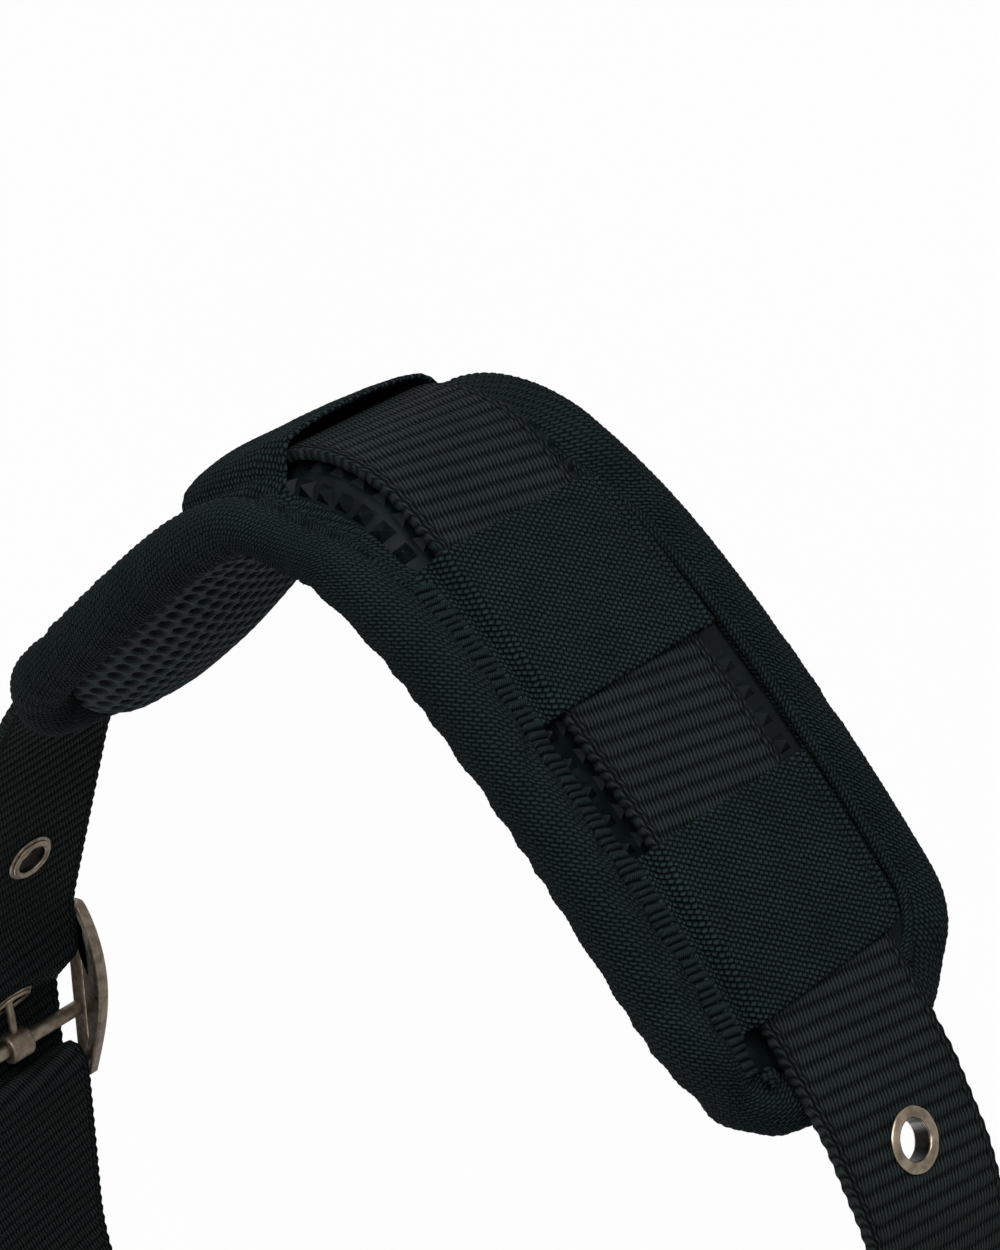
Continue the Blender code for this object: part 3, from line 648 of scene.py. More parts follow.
# Near-black steel for the eyelets' bore walls: painted shade, not a blackened finish.
PAINTED_SHADE_BORE_STEEL = MetalFinish("bore_painted_shade", ((0.004, 0.004, 0.004), (0.02, 0.018, 0.016)), 0.35)


def added(name: str, data: bpy.types.ID) -> Object:
    """Return a new object of some data, in the scene."""
    obj = bpy.data.objects.new(name, data)
    bpy.context.scene.collection.objects.link(obj)
    return obj


class Cloth:
    """Meshes made from grids of points, with their own cloth coordinates."""

    @staticmethod
    def mesh(name: str, points: Array, faces: list[list[int]]) -> Object:
        """Make an object, in the scene, from points in millimetres."""
        mesh = bpy.data.meshes.new(name)
        mesh.from_pydata((points.reshape(-1, 3) * MM).tolist(), [], faces)
        return added(name, mesh)

    @staticmethod
    def cells(grid: Array) -> Array:
        """Return what a grid holds at the four corners of each of its cells."""
        corners = [grid[:-1, :-1], grid[1:, :-1], grid[1:, 1:], grid[:-1, 1:]]
        return np.stack(corners, axis=2).reshape(-1, 4, *grid.shape[2:])

    @staticmethod
    def grid(name: str, points: Array, form: Form, chart: Array | None = None,
             keep: Array | None = None) -> Object:
        """Make an object from a grid of points.

        Args:
            name: The object's name.
            points: Points in millimetres, rows by columns by three.
            form: How the grid closes.
            chart: Cloth coordinates, with one more row or column where the grid loops; None for zeros.
            keep: Which cells are kept, or None for all.

        Returns:
            The object, in the scene.
        """
        rows, columns = points.shape[:2]
        index = np.arange(rows * columns).reshape(rows, columns)
        if form in (Form.RING, Form.PLATE):
            index = np.concatenate([index, index[:1]], axis=0)
        if form in (Form.RING, Form.TUBE):
            index = np.concatenate([index, index[:, :1]], axis=1)
        if chart is None:
            chart = np.zeros((*index.shape, 2))
        faces, spots = Cloth.cells(index), Cloth.cells(chart)
        if keep is not None:
            faces, spots = faces[keep.reshape(-1)], spots[keep.reshape(-1)]
        if form is Form.TUBE:
            half = np.arange(columns // 2 - 1)
            lid = np.stack([half, half + 1, columns - 2 - half, columns - 1 - half], axis=-1)
            faces = np.concatenate([faces, lid, (lid + (rows - 1) * columns)[:, ::-1]])
            spots = np.concatenate([spots, chart[0][lid], chart[-1][lid[:, ::-1]]])
        faces, spots = faces.tolist(), spots.reshape(-1, 2)
        if form is Form.PLATE:
            faces += [index[:-1, 0].tolist(), index[:-1, -1][::-1].tolist()]
            spots = np.concatenate([spots, np.zeros((2 * rows, 2))])
        obj = Cloth.mesh(name, points, faces)
        layer = obj.data.uv_layers.new(name="cloth")
        layer.data.foreach_set("uv", spots.astype(np.float32).reshape(-1))
        obj.data.shade_smooth()
        obj.data.update()
        return obj

    @staticmethod
    def cord(name: str, line: Array, radius: Array, count: int) -> Object:
        """Sweep a round section along a line.

        Args:
            name: The object's name.
            line: The middle of the cord, as points in millimetres.
            radius: The radius at each point.
            count: The points round the section.

        Returns:
            The object, in the scene.
        """
        tangent = unit(np.gradient(line, axis=0))
        upright = abs(tangent[:, 2]).max() < 0.9
        side = unit(np.cross(tangent, (0.0, 0.0, 1.0) if upright else (0.6, 0.8, 0.0)))
        up = np.cross(side, tangent)
        angle = circle(count)[None, :, None]
        ring = side[:, None] * np.cos(angle) + up[:, None] * np.sin(angle)
        around = np.linspace(0.0, 2 * math.pi * float(np.max(radius)), count + 1)
        return Cloth.grid(name, line[:, None] + ring * radius[:, None, None], Form.TUBE,
                          stacked(travelled(line)[:, None], around))

    @staticmethod
    def dress(obj: Object, material: Material, slot: Slot, body: Body, *nodes: str) -> None:
        """Give a piece its material, the body it rides on and the nodes it stands for."""
        obj.data.materials.clear()
        obj.data.materials.append(material)
        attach(obj, body.value)
        if nodes:
            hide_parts(*nodes)

    @staticmethod
    def inflate(obj: Object, pinned: list[int], cap: float, pressure: float, slack: float = 0.0,
                frames: int = 20) -> Array:
        """Blow a cloth up against its pinned points and return where its points end.

        Args:
            obj: The cloth's coarse mesh, which is removed afterwards.
            pinned: The points that stay.
            cap: How far a point may move, in millimetres.
            pressure: The pressure inside.
            slack: The share by which the cloth is cut larger than its form.
            frames: How long it is blown up.

        Returns:
            The points in millimetres.
        """
        start = np.empty(len(obj.data.vertices) * 3)
        obj.data.vertices.foreach_get("co", start)
        end = start.copy()
        obj.vertex_groups.new(name="seam").add(pinned, 1.0, "REPLACE")
        cloth = obj.modifiers.new("Stuffing", "CLOTH")
        cloth.settings.vertex_group_mass = "seam"
        cloth.settings.use_pressure = True
        cloth.settings.uniform_pressure_force = pressure
        cloth.settings.shrink_min = -slack
        cloth.settings.effector_weights.gravity = 0.0
        cloth.collision_settings.use_collision = False
        scene = bpy.context.scene
        for frame in range(1, frames + 1):
            scene.frame_set(frame)
        seen = obj.evaluated_get(bpy.context.evaluated_depsgraph_get())
        seen.data.vertices.foreach_get("co", end)
        scene.frame_set(1)
        move = ((end - start) / MM).reshape(-1, 3)
        size = np.linalg.norm(move, axis=1, keepdims=True)
        move *= np.minimum(1.0, cap / np.maximum(size, 1e-6))
        LOG.info("%s moved by %.2f mm at most, %.2f on average", obj.name, size.max(), size.mean())
        mesh = obj.data
        bpy.data.objects.remove(obj, do_unlink=True)
        bpy.data.meshes.remove(mesh)
        return start.reshape(-1, 3) / MM + move


@dataclass
class Strap:
    """Webbing swept along a route of (s, q) points, its columns crowded toward its edges."""

    path: BeltPath
    width: float = 49.2
    thick: float = 3.4
    relief: float = 0.35
    step: float = 0.7
    columns: int = 53
    crowding: float = math.pi / 2 * 0.86
    selvedge: float = 22.4
    cord: float = 1.3
    shoulder: float = 23.6
    shoulder_radius: float = 1.4
    narrowing: float = 0.004
    wobble: float = 0.25
    hole: float = 6.3

    def build(self, name: str, route: Array, start: float, flats: list[Span]) -> Object:
        """Sweep the strap.

        Args:
            name: The object's name.
            route: The middle of the strap as (s, q) points.
            start: The cloth coordinate at the route's first point, falling along it.
            flats: Stations and levels of the eyelets, where the strap is flat and pierced.

        Returns:
            The strap's object.
        """
        line, run = even(route, self.step)
        share = np.sin(np.linspace(-1.0, 1.0, self.columns) * self.crowding) / math.sin(self.crowding)
        z = share * self.width / 2
        out = np.abs(z)
        along = (start - run)[:, None]
        phase = (along + z * WebbingFinish.skew) / WebbingFinish.rib
        cords = 0.55 + 0.45 * ridges(out - self.selvedge, self.cord)
        relief = np.where(out > self.selvedge, cords, ridges(phase, 1.0) ** 0.8) - 1.0
        edge = rounding(out, self.shoulder, self.shoulder_radius, 0.02)
        bulge = edge * (self.thick / 2 + self.relief * relief)
        wobble = self.wobble * np.sin(2 * np.pi * phase) * np.abs(share) ** 8
        wide = z * (1.0 - self.narrowing) + np.sign(z) * wobble
        points = folded(*(self._place(s, q, wide, flats) for s, q in skins(line, bulge, bulge)))
        across = there_and_back(z)
        keep = np.ones((len(line) - 1, 2 * self.columns), bool)
        middle = (line[:-1] + line[1:]) / 2
        centre = (across[:-1] + across[1:]) / 2
        for flat in flats:
            keep &= np.hypot(np.linalg.norm(middle - flat, axis=1)[:, None], centre) > self.hole
        return Cloth.grid(name, points, Form.TUBE, stacked(along, across), keep)

    def _place(self, s: Array, q: Array, z: Array, flats: list[Span]) -> Array:
        """Bend points round the hoop, straight across each eyelet's flat stretch."""
        s, q, z = np.broadcast_arrays(s, q, z)
        points = self.path.place(s, q, z)
        for station, _ in flats:
            near = np.abs(s - station) < FLAT
            share = ((s[near] - station + FLAT) / (2 * FLAT))[:, None]
            first = self.path.place(station - FLAT, q[near], z[near])
            last = self.path.place(station + FLAT, q[near], z[near])
            points[near] = first * (1 - share) + last * share
        return points


@dataclass
class Webbing:
    """The belt's strap, its free end and their eyelets."""

    path: BeltPath
    right_eyelets: tuple[float, ...] = (203.0, 263.0)
    left_eyelet: float = -281.0
    eyelet_pitch: float = 60.0
    tail_eyelets: int = 2
    wrap_radius: float = 4.5
    layer: float = 3.7
    fold_length: float = 44.0
    fold_ease: float = 20.0
    split: float = 2.0
    split_gap: float = 0.3
    step_start: float = 12.0
    step_angle: float = math.radians(38.0)
    step_radius: float = 8.0
    heel_past: float = 5.0
    tail_level: float = 12.7
    resting: float = 8.8
    tail_length: float = 150.0
    hole: Span = (20.5967, 6.7165)

    def build(self, metal: Material, shade_painted_steel: Material) -> None:
        """Build both straps and all eyelets, those on the buckle's side in darker steel that paints the shade
        they lie in.
        """
        hoop, strap, cloth = self.path.hoop, Strap(self.path), WebbingFinish().material()
        buckle = -hoop.buckle_station
        heel = self.path.length + buckle - hoop.heel_bar
        turn = np.linspace(0.0, math.pi, 25)
        wrap = stacked(heel + self.wrap_radius * np.sin(turn), self.wrap_radius * (1.0 + np.cos(turn)))
        fold = [(heel - self.fold_length, self.layer), (heel - self.fold_ease, self.layer)]
        route = np.concatenate([fold, wrap, [(heel - 1.0, 0.0), (buckle - self.split, 0.0)]])
        holes = {f"right_{k + 1}": (s, 0.0) for k, s in enumerate(self.right_eyelets)}
        holes["left_1"] = (self.left_eyelet, 0.0)
        start = travelled(route)[-1] + buckle - self.split
        belt = strap.build("woven_strap", route, start, list(holes.values()))
        Cloth.dress(belt, cloth, Slot.WEBBING, Body.BELT, "main_webbing")

        top = self.step_start + self.tail_level / math.tan(self.step_angle)
        past = hoop.heel_bar + self.heel_past
        corners = [(self.split + self.split_gap, 0.0), (self.step_start, 0.0), (top, self.tail_level),
                   (past, self.tail_level), (past + 2 * self.fold_ease, self.resting),
                   (past + self.tail_length, self.resting)]
        route = rounded([(buckle - p, q) for p, q in corners], self.step_radius)
        through = (buckle - self.hole[0], self.hole[1])
        ends = {f"tail_{k + 1}": (buckle - hoop.heel_bar - (k + 1) * self.eyelet_pitch, self.resting)
                for k in range(self.tail_eyelets)}
        tail = strap.build("woven_tail", route, buckle - self.split, [through, *ends.values()])
        Cloth.dress(tail, cloth, Slot.WEBBING, Body.TAIL, "webbing_tail")

        # The bore material paints shade on the inside of every eyelet.
        maker, bore = Eyelet(), PAINTED_SHADE_BORE_STEEL.material()
        # Eyelets left of the pad's centre take the darker steel as painted shade.
        for label, (s, q) in (holes | ends).items():
            body = Body.TAIL if label in ends else Body.BELT
            maker.build(label, self.path.matrix(s, q), metal if s > 0 else shade_painted_steel, bore, body)
        maker.build("tongue", self.path.matrix(*through, -self.step_angle), shade_painted_steel, bore, Body.TAIL)


@dataclass
class Eyelet:
    """An eyelet with its rolled rim, and the washer that it is closed over."""

    hole: float = 5.2
    wall: float = 0.6
    flange: float = 8.25
    dome: float = 0.9
    lip: float = 0.8
    lip_half: float = 1.1
    seat: float = 0.15
    face: float = 1.85
    washer: float = 0.6
    facets: float = 0.012
    steps: int = 48

    def build(self, label: str, place: Matrix, metal: Material, bore: Material, body: Body) -> None:
        """Add one eyelet, with painted shade on the wall of its bore, and its washer."""
        barrel = self.hole + self.wall
        low = -self.face - self.washer
        back = low - self.seat
        mid, half = (self.flange + self.hole) / 2, (self.flange - self.hole) / 2
        rim = [(mid + half * math.cos(t), self.face + self.dome * math.sin(t) ** 0.7)
               for t in np.linspace(0.0, math.pi, 15)]
        lip = [(self.hole + self.lip_half * (1.0 - math.cos(t)), back - self.lip * math.sin(t))
               for t in np.linspace(0.0, math.pi, 9)]
        tube = [(barrel + 1.0, back), (barrel, back + 0.05), (barrel, self.face - 0.05)]
        ring = self.turn(f"rim_{label}", rim + lip + tube, place, self.facets)
        Cloth.dress(ring, metal, Slot.METAL, body, f"eyelet_{label}")
        # The bore's wall takes the near-black steel: painted shade inside the hole.
        ring.data.materials.append(bore)
        inside = np.arange(len(ring.data.polygons)) % len(rim + lip + tube) == len(rim) - 1
        ring.data.polygons.foreach_set("material_index", inside.astype(np.int32))
        inner = barrel + self.seat
        disc = [(inner, -self.face), (self.flange, -self.face), (self.flange, -self.face - 0.15),
                (self.flange - 0.5, low), (inner + 0.2, low), (inner, low + 0.2)]
        Cloth.dress(self.turn(f"disc_{label}", disc, place, 0.0), metal, Slot.METAL, body, f"washer_{label}")

    def turn(self, name: str, profile: list[Span], place: Matrix, facets: float) -> Object:
        """Turn a profile about the outward axis of the belt and put it in its place."""
        points = turned(np.array(profile), self.steps, facets)[..., [0, 2, 1]] * (1.0, 1.0, -1.0)
        obj = Cloth.grid(name, points, Form.RING)
        obj.data.transform(place)
        obj.data.update()
        return obj


@dataclass
class Pad:
    """The back pad: stuffed border, dimpled liner, studded panel, loops and seams.

    A span holds where a change starts and how long it takes, and a spot its middle and its reach.
    """

    path: BeltPath
    length: float = 376.0
    width: float = 102.0
    web_half: float = 25.0
    gap: float = 0.3
    border: float = 8.5
    fullness: float = 0.95
    border_step: float = 4.4
    border_seam: tuple[int, ...] = (6, 7, 8)
    border_cap: float = 0.6
    border_pressure: float = 120.0
    border_slack: float = 0.012
    border_mesh: tuple[int, int] = (1700, 104)
    weave: float = 0.3
    pucker: float = 0.25
    corner: float = 28.0
    slack_corner: float = 40.0
    tight: float = 3.2
    tight_spot: tuple[float, float, float] = (166.0, 38.0, 15.0)
    under: float = -10.5
    rise: float = 5.0
    pull: float = 6.0
    pull_reach: float = 36.0
    far_lift: float = 8.0
    far_span: Span = (60.0, 40.0)
    sag: float = 11.0
    sag_spot: Span = (-8.0, 31.0)
    sag_span: Span = (24.0, 10.0)
    squeeze: float = 1.8
    spread: float = 7.0
    spread_spot: Span = (-4.0, 38.0)
    lean: float = 3.0
    slim: float = 3.0
    slim_span: Span = (10.0, 30.0)
    slim_end: float = 20.0
    panel_top: float = -4.5
    panel_thick: float = 1.6
    panel_mesh: tuple[int, int] = (172, 71)
    land: float = 3.0
    land_span: Span = (24.5, 2.5)
    groove: float = 1.9
    groove_slope: float = 0.7
    tuck: float = 6.0
    stud_base: float = 4.4
    stud_pitch: float = 8.0
    stud_rows: tuple[float, ...] = (-29.1, 27.7, -21.7, 21.7)
    stud_rings: tuple[Span, ...] = ((1.12, 0.0), (1.0, 0.12), (0.94, 0.3), (0.16, 2.28), (0.06, 2.44))
    stud_sink: float = 0.15
    stud_room: float = 26.5
    core: Span = (3.5, 7.5)
    liner: Span = (1.5, 5.5)
    liner_form: tuple[int, int] = (76, 17)
    liner_cap: float = 1.2
    liner_pressure: float = 3.0
    liner_mesh: tuple[int, int] = (620, 141)
    crest_span: Span = (70.0, 65.0)
    reach: float = 9.0
    reach_span: Span = (90.0, 80.0)
    dimple_pitch: float = 5.5
    dimple_row: float = 0.866
    dimple_radius: float = 2.2
    dimple_depth: float = 1.3
    flare: float = 6.5
    loops: tuple[tuple[str, float, float], ...] = (("left_2", -135.0, 0.0), ("left_1", -50.0, 3.5),
                                                   ("right_1", 50.0, 0.0), ("right_2", 135.0, 0.0))

    @property
    def inner(self) -> float:
        """Half the width of the panel inside the border."""
        return self.width / 2 - 2 * self.border - self.gap

    @property
    def end(self) -> float:
        """Half the length of the panel inside the border."""
        return self.length / 2 - 2 * self.border - self.gap

    def border_level(self, s: Array, z: Array) -> Array:
        """Return the level of the border's middle, which passes under the webbing at the ends."""
        hoop = self.path.hoop
        crest = hoop.crest_radius * math.radians(hoop.crest_ahead - hoop.crest_behind) / 2
        pull = self.pull * bell(s, crest, self.pull_reach) - self.far_lift * ramp(-s, *self.far_span)
        inner = self.web_half + self.border + self.gap
        share = ramp(np.abs(z), inner, self.width / 2 - self.border - inner)
        return self.under + (self.rise - pull * (z < 0)) * share - self.dip(s, z)

    def dip(self, s: Array, z: Array) -> Array:
        """Return how far the pad's near edge sags where it is folded over the crest."""
        return self.sag * bell(s, *self.sag_spot) * ramp(z, *self.sag_span)

    def bunch(self, s: Array, z: Array) -> Array:
        """Return from 0 to 1 how much the far border is bunched against the webbing at the crest."""
        return bell(s, *self.spread_spot) * (z < 0)

    def stand_back(self, s: Array, z: Array) -> Array:
        """Return how far the far border stands back from the panel, right of the crest."""
        return self.slim * ramp(s, *self.slim_span) * ramp(-s, -self.end, self.slim_end) * (z < 0)

    def half_width(self, s: Array, side: Array | float) -> Array:
        """Return the half width inside the border at stations along the pad, on one side or the other."""
        corner = np.where((s < 0) & (np.asarray(side) > 0), self.slack_corner, self.corner) - self.border
        past = np.clip(np.abs(s) - (self.end - corner), 0.0, corner)
        return np.maximum(self.inner - corner + np.sqrt(corner ** 2 - past ** 2), 2.0)

    def outline(self, step: float) -> Array:
        """Return the border's middle line as evenly spaced (s, z) points, once round the pad."""
        s, z = self.length / 2 - self.border, self.width / 2 - self.border
        route = []
        for turn, (along, across) in enumerate([(1, 1), (-1, 1), (-1, -1), (1, -1)]):
            corner = self.slack_corner if turn == 1 else self.corner
            for angle in np.linspace(turn, turn + 1, 25) * math.pi / 2:
                route.append((along * (s - corner) + corner * math.cos(angle),
                              across * (z - corner) + corner * math.sin(angle)))
        return even(np.array(route + route[:1]), step)[0][:-1]

    def build(self) -> None:
        """Build the border, the liner, the panel, the loops and the seams."""
        cloth = BorderFinish().material()
        self.build_border(cloth)
        self.build_liner()
        self.build_panel()
        elastic = ElasticFinish().material()
        for label, centre, rise in self.loops:
            Loop(self, centre, rise, self.flare if rise else 0.0).build(label, elastic)
        Seam(self).build(cloth)

    def tube(self, line: Array) -> Array:
        """Return the border's tube round its middle line, before it is blown up."""
        s, z = line[:, :1], line[:, 1:]
        around = circle(16)
        outer, inner = np.clip(np.cos(around), 0.0, 1.0), np.clip(-np.cos(around), 0.0, 1.0)
        radius = self.border * self.fullness - self.squeeze / self.sag * self.dip(s, z)
        reach = radius * np.cos(around) - self.bunch(s, z) * (self.spread * inner + self.lean * outer)
        corner, side, span = self.tight_spot
        near = np.exp(-((s - corner) ** 2 + (z - side) ** 2) / span ** 2)
        reach = reach + self.stand_back(s, z) * inner - self.tight * near * outer
        out = sides(line, closed=True)
        level = self.border_level(s, z) + radius * np.sin(around)
        return self.path.place(s + reach * out[:, :1], level, z + reach * out[:, 1:])

    def build_border(self, cloth: Material) -> None:
        """Blow up the border's tube, held along its seam, and weave its surface."""
        line = self.outline(self.border_step)
        points = self.tube(line)
        rows, columns = points.shape[:2]
        coarse = Cloth.grid("border_form", points[:, ::-1], Form.RING)
        pinned = [r * columns + c for r in range(rows) for c in self.border_seam]
        full = Cloth.inflate(coarse, pinned, self.border_cap, self.border_pressure, self.border_slack)
        full = full.reshape(points.shape)[:, ::-1]
        rows, columns = self.border_mesh
        fine = refine(refine(full, rows, 0), columns, 1)
        around = np.roll(fine, -1, axis=1) - np.roll(fine, 1, axis=1)
        normal = unit(np.cross(np.gradient(fine, axis=0), around))
        sign = np.sign(np.sum(normal[0, 0] * (fine[0, 0] - fine[0].mean(axis=0))))
        u = np.linspace(0.0, travelled(np.concatenate([line, line[:1]]))[-1], rows + 1)[:, None]
        v = np.linspace(0.0, 2 * math.pi * self.border, columns + 1)
        chart = stacked(u, v)
        u, v = u[:-1], v[:-1]
        c, s = math.cos(BorderFinish.turn), math.sin(BorderFinish.turn)
        weave = ridges(u * c + v * s, BorderFinish.length) * ridges(v * c - u * s, 2 * BorderFinish.width)
        pucker = np.sin(u * 0.62 + 2.0 * np.sin(u * 0.13)) * np.cos(v / self.border + 0.6) ** 4
        fine = fine + sign * normal * (self.weave * (weave - 0.5) + self.pucker * pucker)[..., None]
        fine[..., 2] = np.maximum(fine[..., 2], 0.0)
        roll = Cloth.grid("stuffed_border", fine, Form.RING, chart)
        Cloth.dress(roll, cloth, Slot.BORDER, Body.BELT, "edge_border")

    def over_panel(self, rows: int, columns: int) -> tuple[Array, Array, Array]:
        """Return the stations, shares and heights of a grid over the panel, tucked under the border."""
        end = self.end + self.tuck
        s, share = np.linspace(-end, end, rows)[:, None], np.linspace(-1.0, 1.0, columns)
        return s, share, share * (self.half_width(s, share) + self.tuck)

    def liner_level(self, s: Array, share: Array) -> Array:
        """Return the liner's body side, crowned along and across, less over the crest."""
        crown = (1 - np.abs(share) ** 3) * (1 - (s / self.end) ** 30)
        swell = crown * (0.5 + 0.5 * ramp(np.abs(s), *self.crest_span))
        edge = self.panel_top - self.panel_thick - 2 * self.gap - self.core[0] - self.liner[0]
        return edge - (self.core[1] + self.liner[1]) * swell

    def reached(self, s: Array) -> Array:
        """Return the liner's stations, its left end reaching over the border."""
        return s - self.reach * ramp(-s, *self.reach_span)

    def build_liner(self) -> None:
        """Blow up the liner, held along its edges, and press its dimples in."""
        s, share, z = self.over_panel(*self.liner_form)
        wide = np.minimum(1.0, np.abs(z) / self.half_width(s, share))
        level = self.liner_level(s.clip(-self.end, self.end), wide) - self.dip(s, z)
        points = self.path.place(self.reached(s), level, z)
        coarse = Cloth.grid("liner_form", points[:, ::-1], Form.SHEET)
        index = np.arange(z.size).reshape(z.shape)
        pinned = np.concatenate([index[0], index[-1], index[:, 0], index[:, -1]]).tolist()
        full = Cloth.inflate(coarse, pinned, self.liner_cap, self.liner_pressure)
        full = full.reshape(points.shape)[:, ::-1]
        rows, columns = self.liner_mesh
        fine = stretch(stretch(full, rows, 0), columns, 1)
        s, _, z = self.over_panel(rows, columns)
        s = self.reached(s)
        pitch, height = self.dimple_pitch, self.dimple_pitch * self.dimple_row
        row = np.round(z / height)
        shift = 0.5 * pitch * (row % 2)
        away = np.hypot((s - shift + pitch / 2) % pitch - pitch / 2, z - row * height)
        dimple = np.clip(1.0 - (away / self.dimple_radius) ** 2, 0.0, 1.0) ** 0.75
        fine = fine + self.path.outward(s, z) * (self.dimple_depth * dimple)[..., None]
        backing = self.path.place(s, self.panel_top - self.panel_thick - 0.1 - self.dip(s, z), z)
        chart = stacked(s, there_and_back(z))
        liner = Cloth.grid("dimpled_liner", folded(fine, backing), Form.TUBE, chart)
        # The dimples' depth, kept for the liner's shader, which paints shade into them.
        dip = folded(dimple, np.zeros_like(dimple)).astype(np.float32)
        liner.data.attributes.new("dip", "FLOAT", "POINT").data.foreach_set("value", dip.reshape(-1))
        Cloth.dress(liner, MeshFinish().material(), Slot.MESH, Body.BELT, "mesh_liner", "foam_core")

    def panel_level(self, s: Array, z: Array) -> Array:
        """Return the panel's outer side, raised beside the webbing on its far edge, up to a groove."""
        brink = self.inner + self.stand_back(s, z) - self.groove
        groove = ramp(z, -brink - self.groove_slope, self.groove_slope)
        up = self.land * ramp(-z, *self.land_span) * (1.0 - self.bunch(s, z)) * groove
        return self.panel_top + up - self.dip(s, z)

    def seat(self, s: float, z: float) -> Array:
        """Return the frame of a spot on the panel: along, across, out of it, and the spot itself."""
        near = np.array([(s, z), (s + 0.5, z), (s - 0.5, z), (s, z + 0.5), (s, z - 0.5)])
        spots = self.path.place(near[:, 0], self.panel_level(near[:, 0], near[:, 1]), near[:, 1])
        along, across = unit(spots[1] - spots[2]), unit(spots[3] - spots[4])
        out = np.cross(along, across)
        out *= np.sign(out @ self.path.outward(s, z))
        return np.stack([along, across, out, spots[0]], axis=-1)

    def bare(self, s: float) -> bool:
        """Return whether no loop covers a station, with room for a stud."""
        return all(abs(s - centre) > self.stud_room for _, centre, _ in self.loops)

    def build_panel(self) -> None:
        """Build the rubber panel: one sheet, and rows of square pyramids, the first only where it is bare."""
        s, _, z = self.over_panel(*self.panel_mesh)
        top = self.path.place(s, self.panel_level(s, z), z)
        low = self.path.place(s, self.panel_top - self.panel_thick + 0.2 - self.dip(s, z), z)
        base = Cloth.grid("rubber_sheet", folded(top, low), Form.TUBE)
        half = self.stud_base / 2
        stud = np.array([(a * half * scale, b * half * scale, rise - self.stud_sink, 1.0)
                         for scale, rise in self.stud_rings for a, b in ((1, 1), (-1, 1), (-1, -1), (1, -1))])
        rings = np.arange(len(stud)).reshape(-1, 4)
        walls = Cloth.cells(np.concatenate([rings, rings[:, :1]], axis=1))[:, ::-1]
        faces = np.concatenate([walls, rings[-1:]])
        flat = self.end - self.corner + self.border
        count = round(2 * flat / self.stud_pitch)
        stations = [flat * ((2 * k + 1) / count - 1) for k in range(count)]
        seats = [self.seat(station, row) for station in stations for row in self.stud_rows
                 if row != self.stud_rows[0] or self.bare(station)]
        every = np.concatenate([faces + k * len(stud) for k in range(len(seats))])
        studs = Cloth.mesh("studs", np.concatenate([stud @ seat.T for seat in seats]), every.tolist())
        rubber = RubberFinish().material()
        Cloth.dress(base, rubber, Slot.RUBBER, Body.BELT, "stud_panel")
        Cloth.dress(studs, rubber, Slot.RUBBER, Body.BELT)


@dataclass
class Loop:
    """One elastic loop across the pad, which may stand off the webbing and flare at its left edge."""

    pad: Pad
    centre: float
    rise: float
    flare: float
    width: float = 47.5
    thick: float = 1.5
    web_thick: float = 3.4
    soft: float = 0.8
    nub: float = 1.75
    nub_height: float = 0.15
    bend: float = 1.2
    step: float = 0.55
    columns: int = 88
    flare_half: float = 33.0
    flare_span: Span = (-12.0, 24.0)

    def route(self) -> Array:
        """Return the loop's section as (z, q) points from one side of the panel to the other."""
        pad, thick = self.pad, self.thick
        over = (self.web_thick + thick) / 2 + pad.gap
        beside = (thick - self.web_thick) / 2
        edge = pad.web_half + pad.gap
        side = [(pad.inner - thick / 2, pad.panel_top + pad.gap + thick / 2),
                (pad.inner - 1.7 * thick, beside), (edge + 1.9 * thick, beside),
                (edge + 0.7 * thick, over - thick / 2), (edge, over)]
        arch = [(edge * math.cos(t), over + self.rise * math.sin(t)) for t in np.arange(1, 8) * math.pi / 8]
        return rounded(side + (arch if self.rise else []) + [(-z, q) for z, q in reversed(side)], self.bend)

    def build(self, label: str, elastic: Material) -> None:
        """Build the loop with its nubs."""
        pad = self.pad
        line, run = even(self.route(), self.step)
        along = run[:, None]
        s = self.centre + np.linspace(-0.5, 0.5, self.columns) * self.width
        edge = rounding(np.abs(s - self.centre), self.width / 2 - self.soft, self.soft, 0.04)
        nub = ridges((s + along) / math.sqrt(2.0), self.nub) * ridges((s - along) / math.sqrt(2.0), self.nub)
        bulge = edge * (self.thick / 2 + self.nub_height * (nub - 1.0))
        start = pad.web_half + pad.gap
        layers = []
        for z, q in skins(line, bulge, np.broadcast_to(edge * self.thick / 2, bulge.shape)):
            room = (pad.half_width(s, z) + pad.stand_back(s, z) - start) / (pad.inner - start)
            past = np.clip(np.abs(z) - start, 0.0, None)
            z = np.sign(z) * (np.abs(z) - past * (1 - room))
            lift = self.flare * ramp(-s, -self.centre - self.width / 2, self.width)
            lift = lift * rounding(np.abs(z), 0.0, self.flare_half, 0.0) * ramp(z, *self.flare_span)
            layers.append(pad.path.place(s, q + lift - pad.dip(s, z), z))
        loop = Cloth.grid(f"loop_{label}", folded(*layers), Form.TUBE, stacked(there_and_back(s), along))
        Cloth.dress(loop, elastic, Slot.ELASTIC, Body.BELT, f"elastic_loop_{label}")


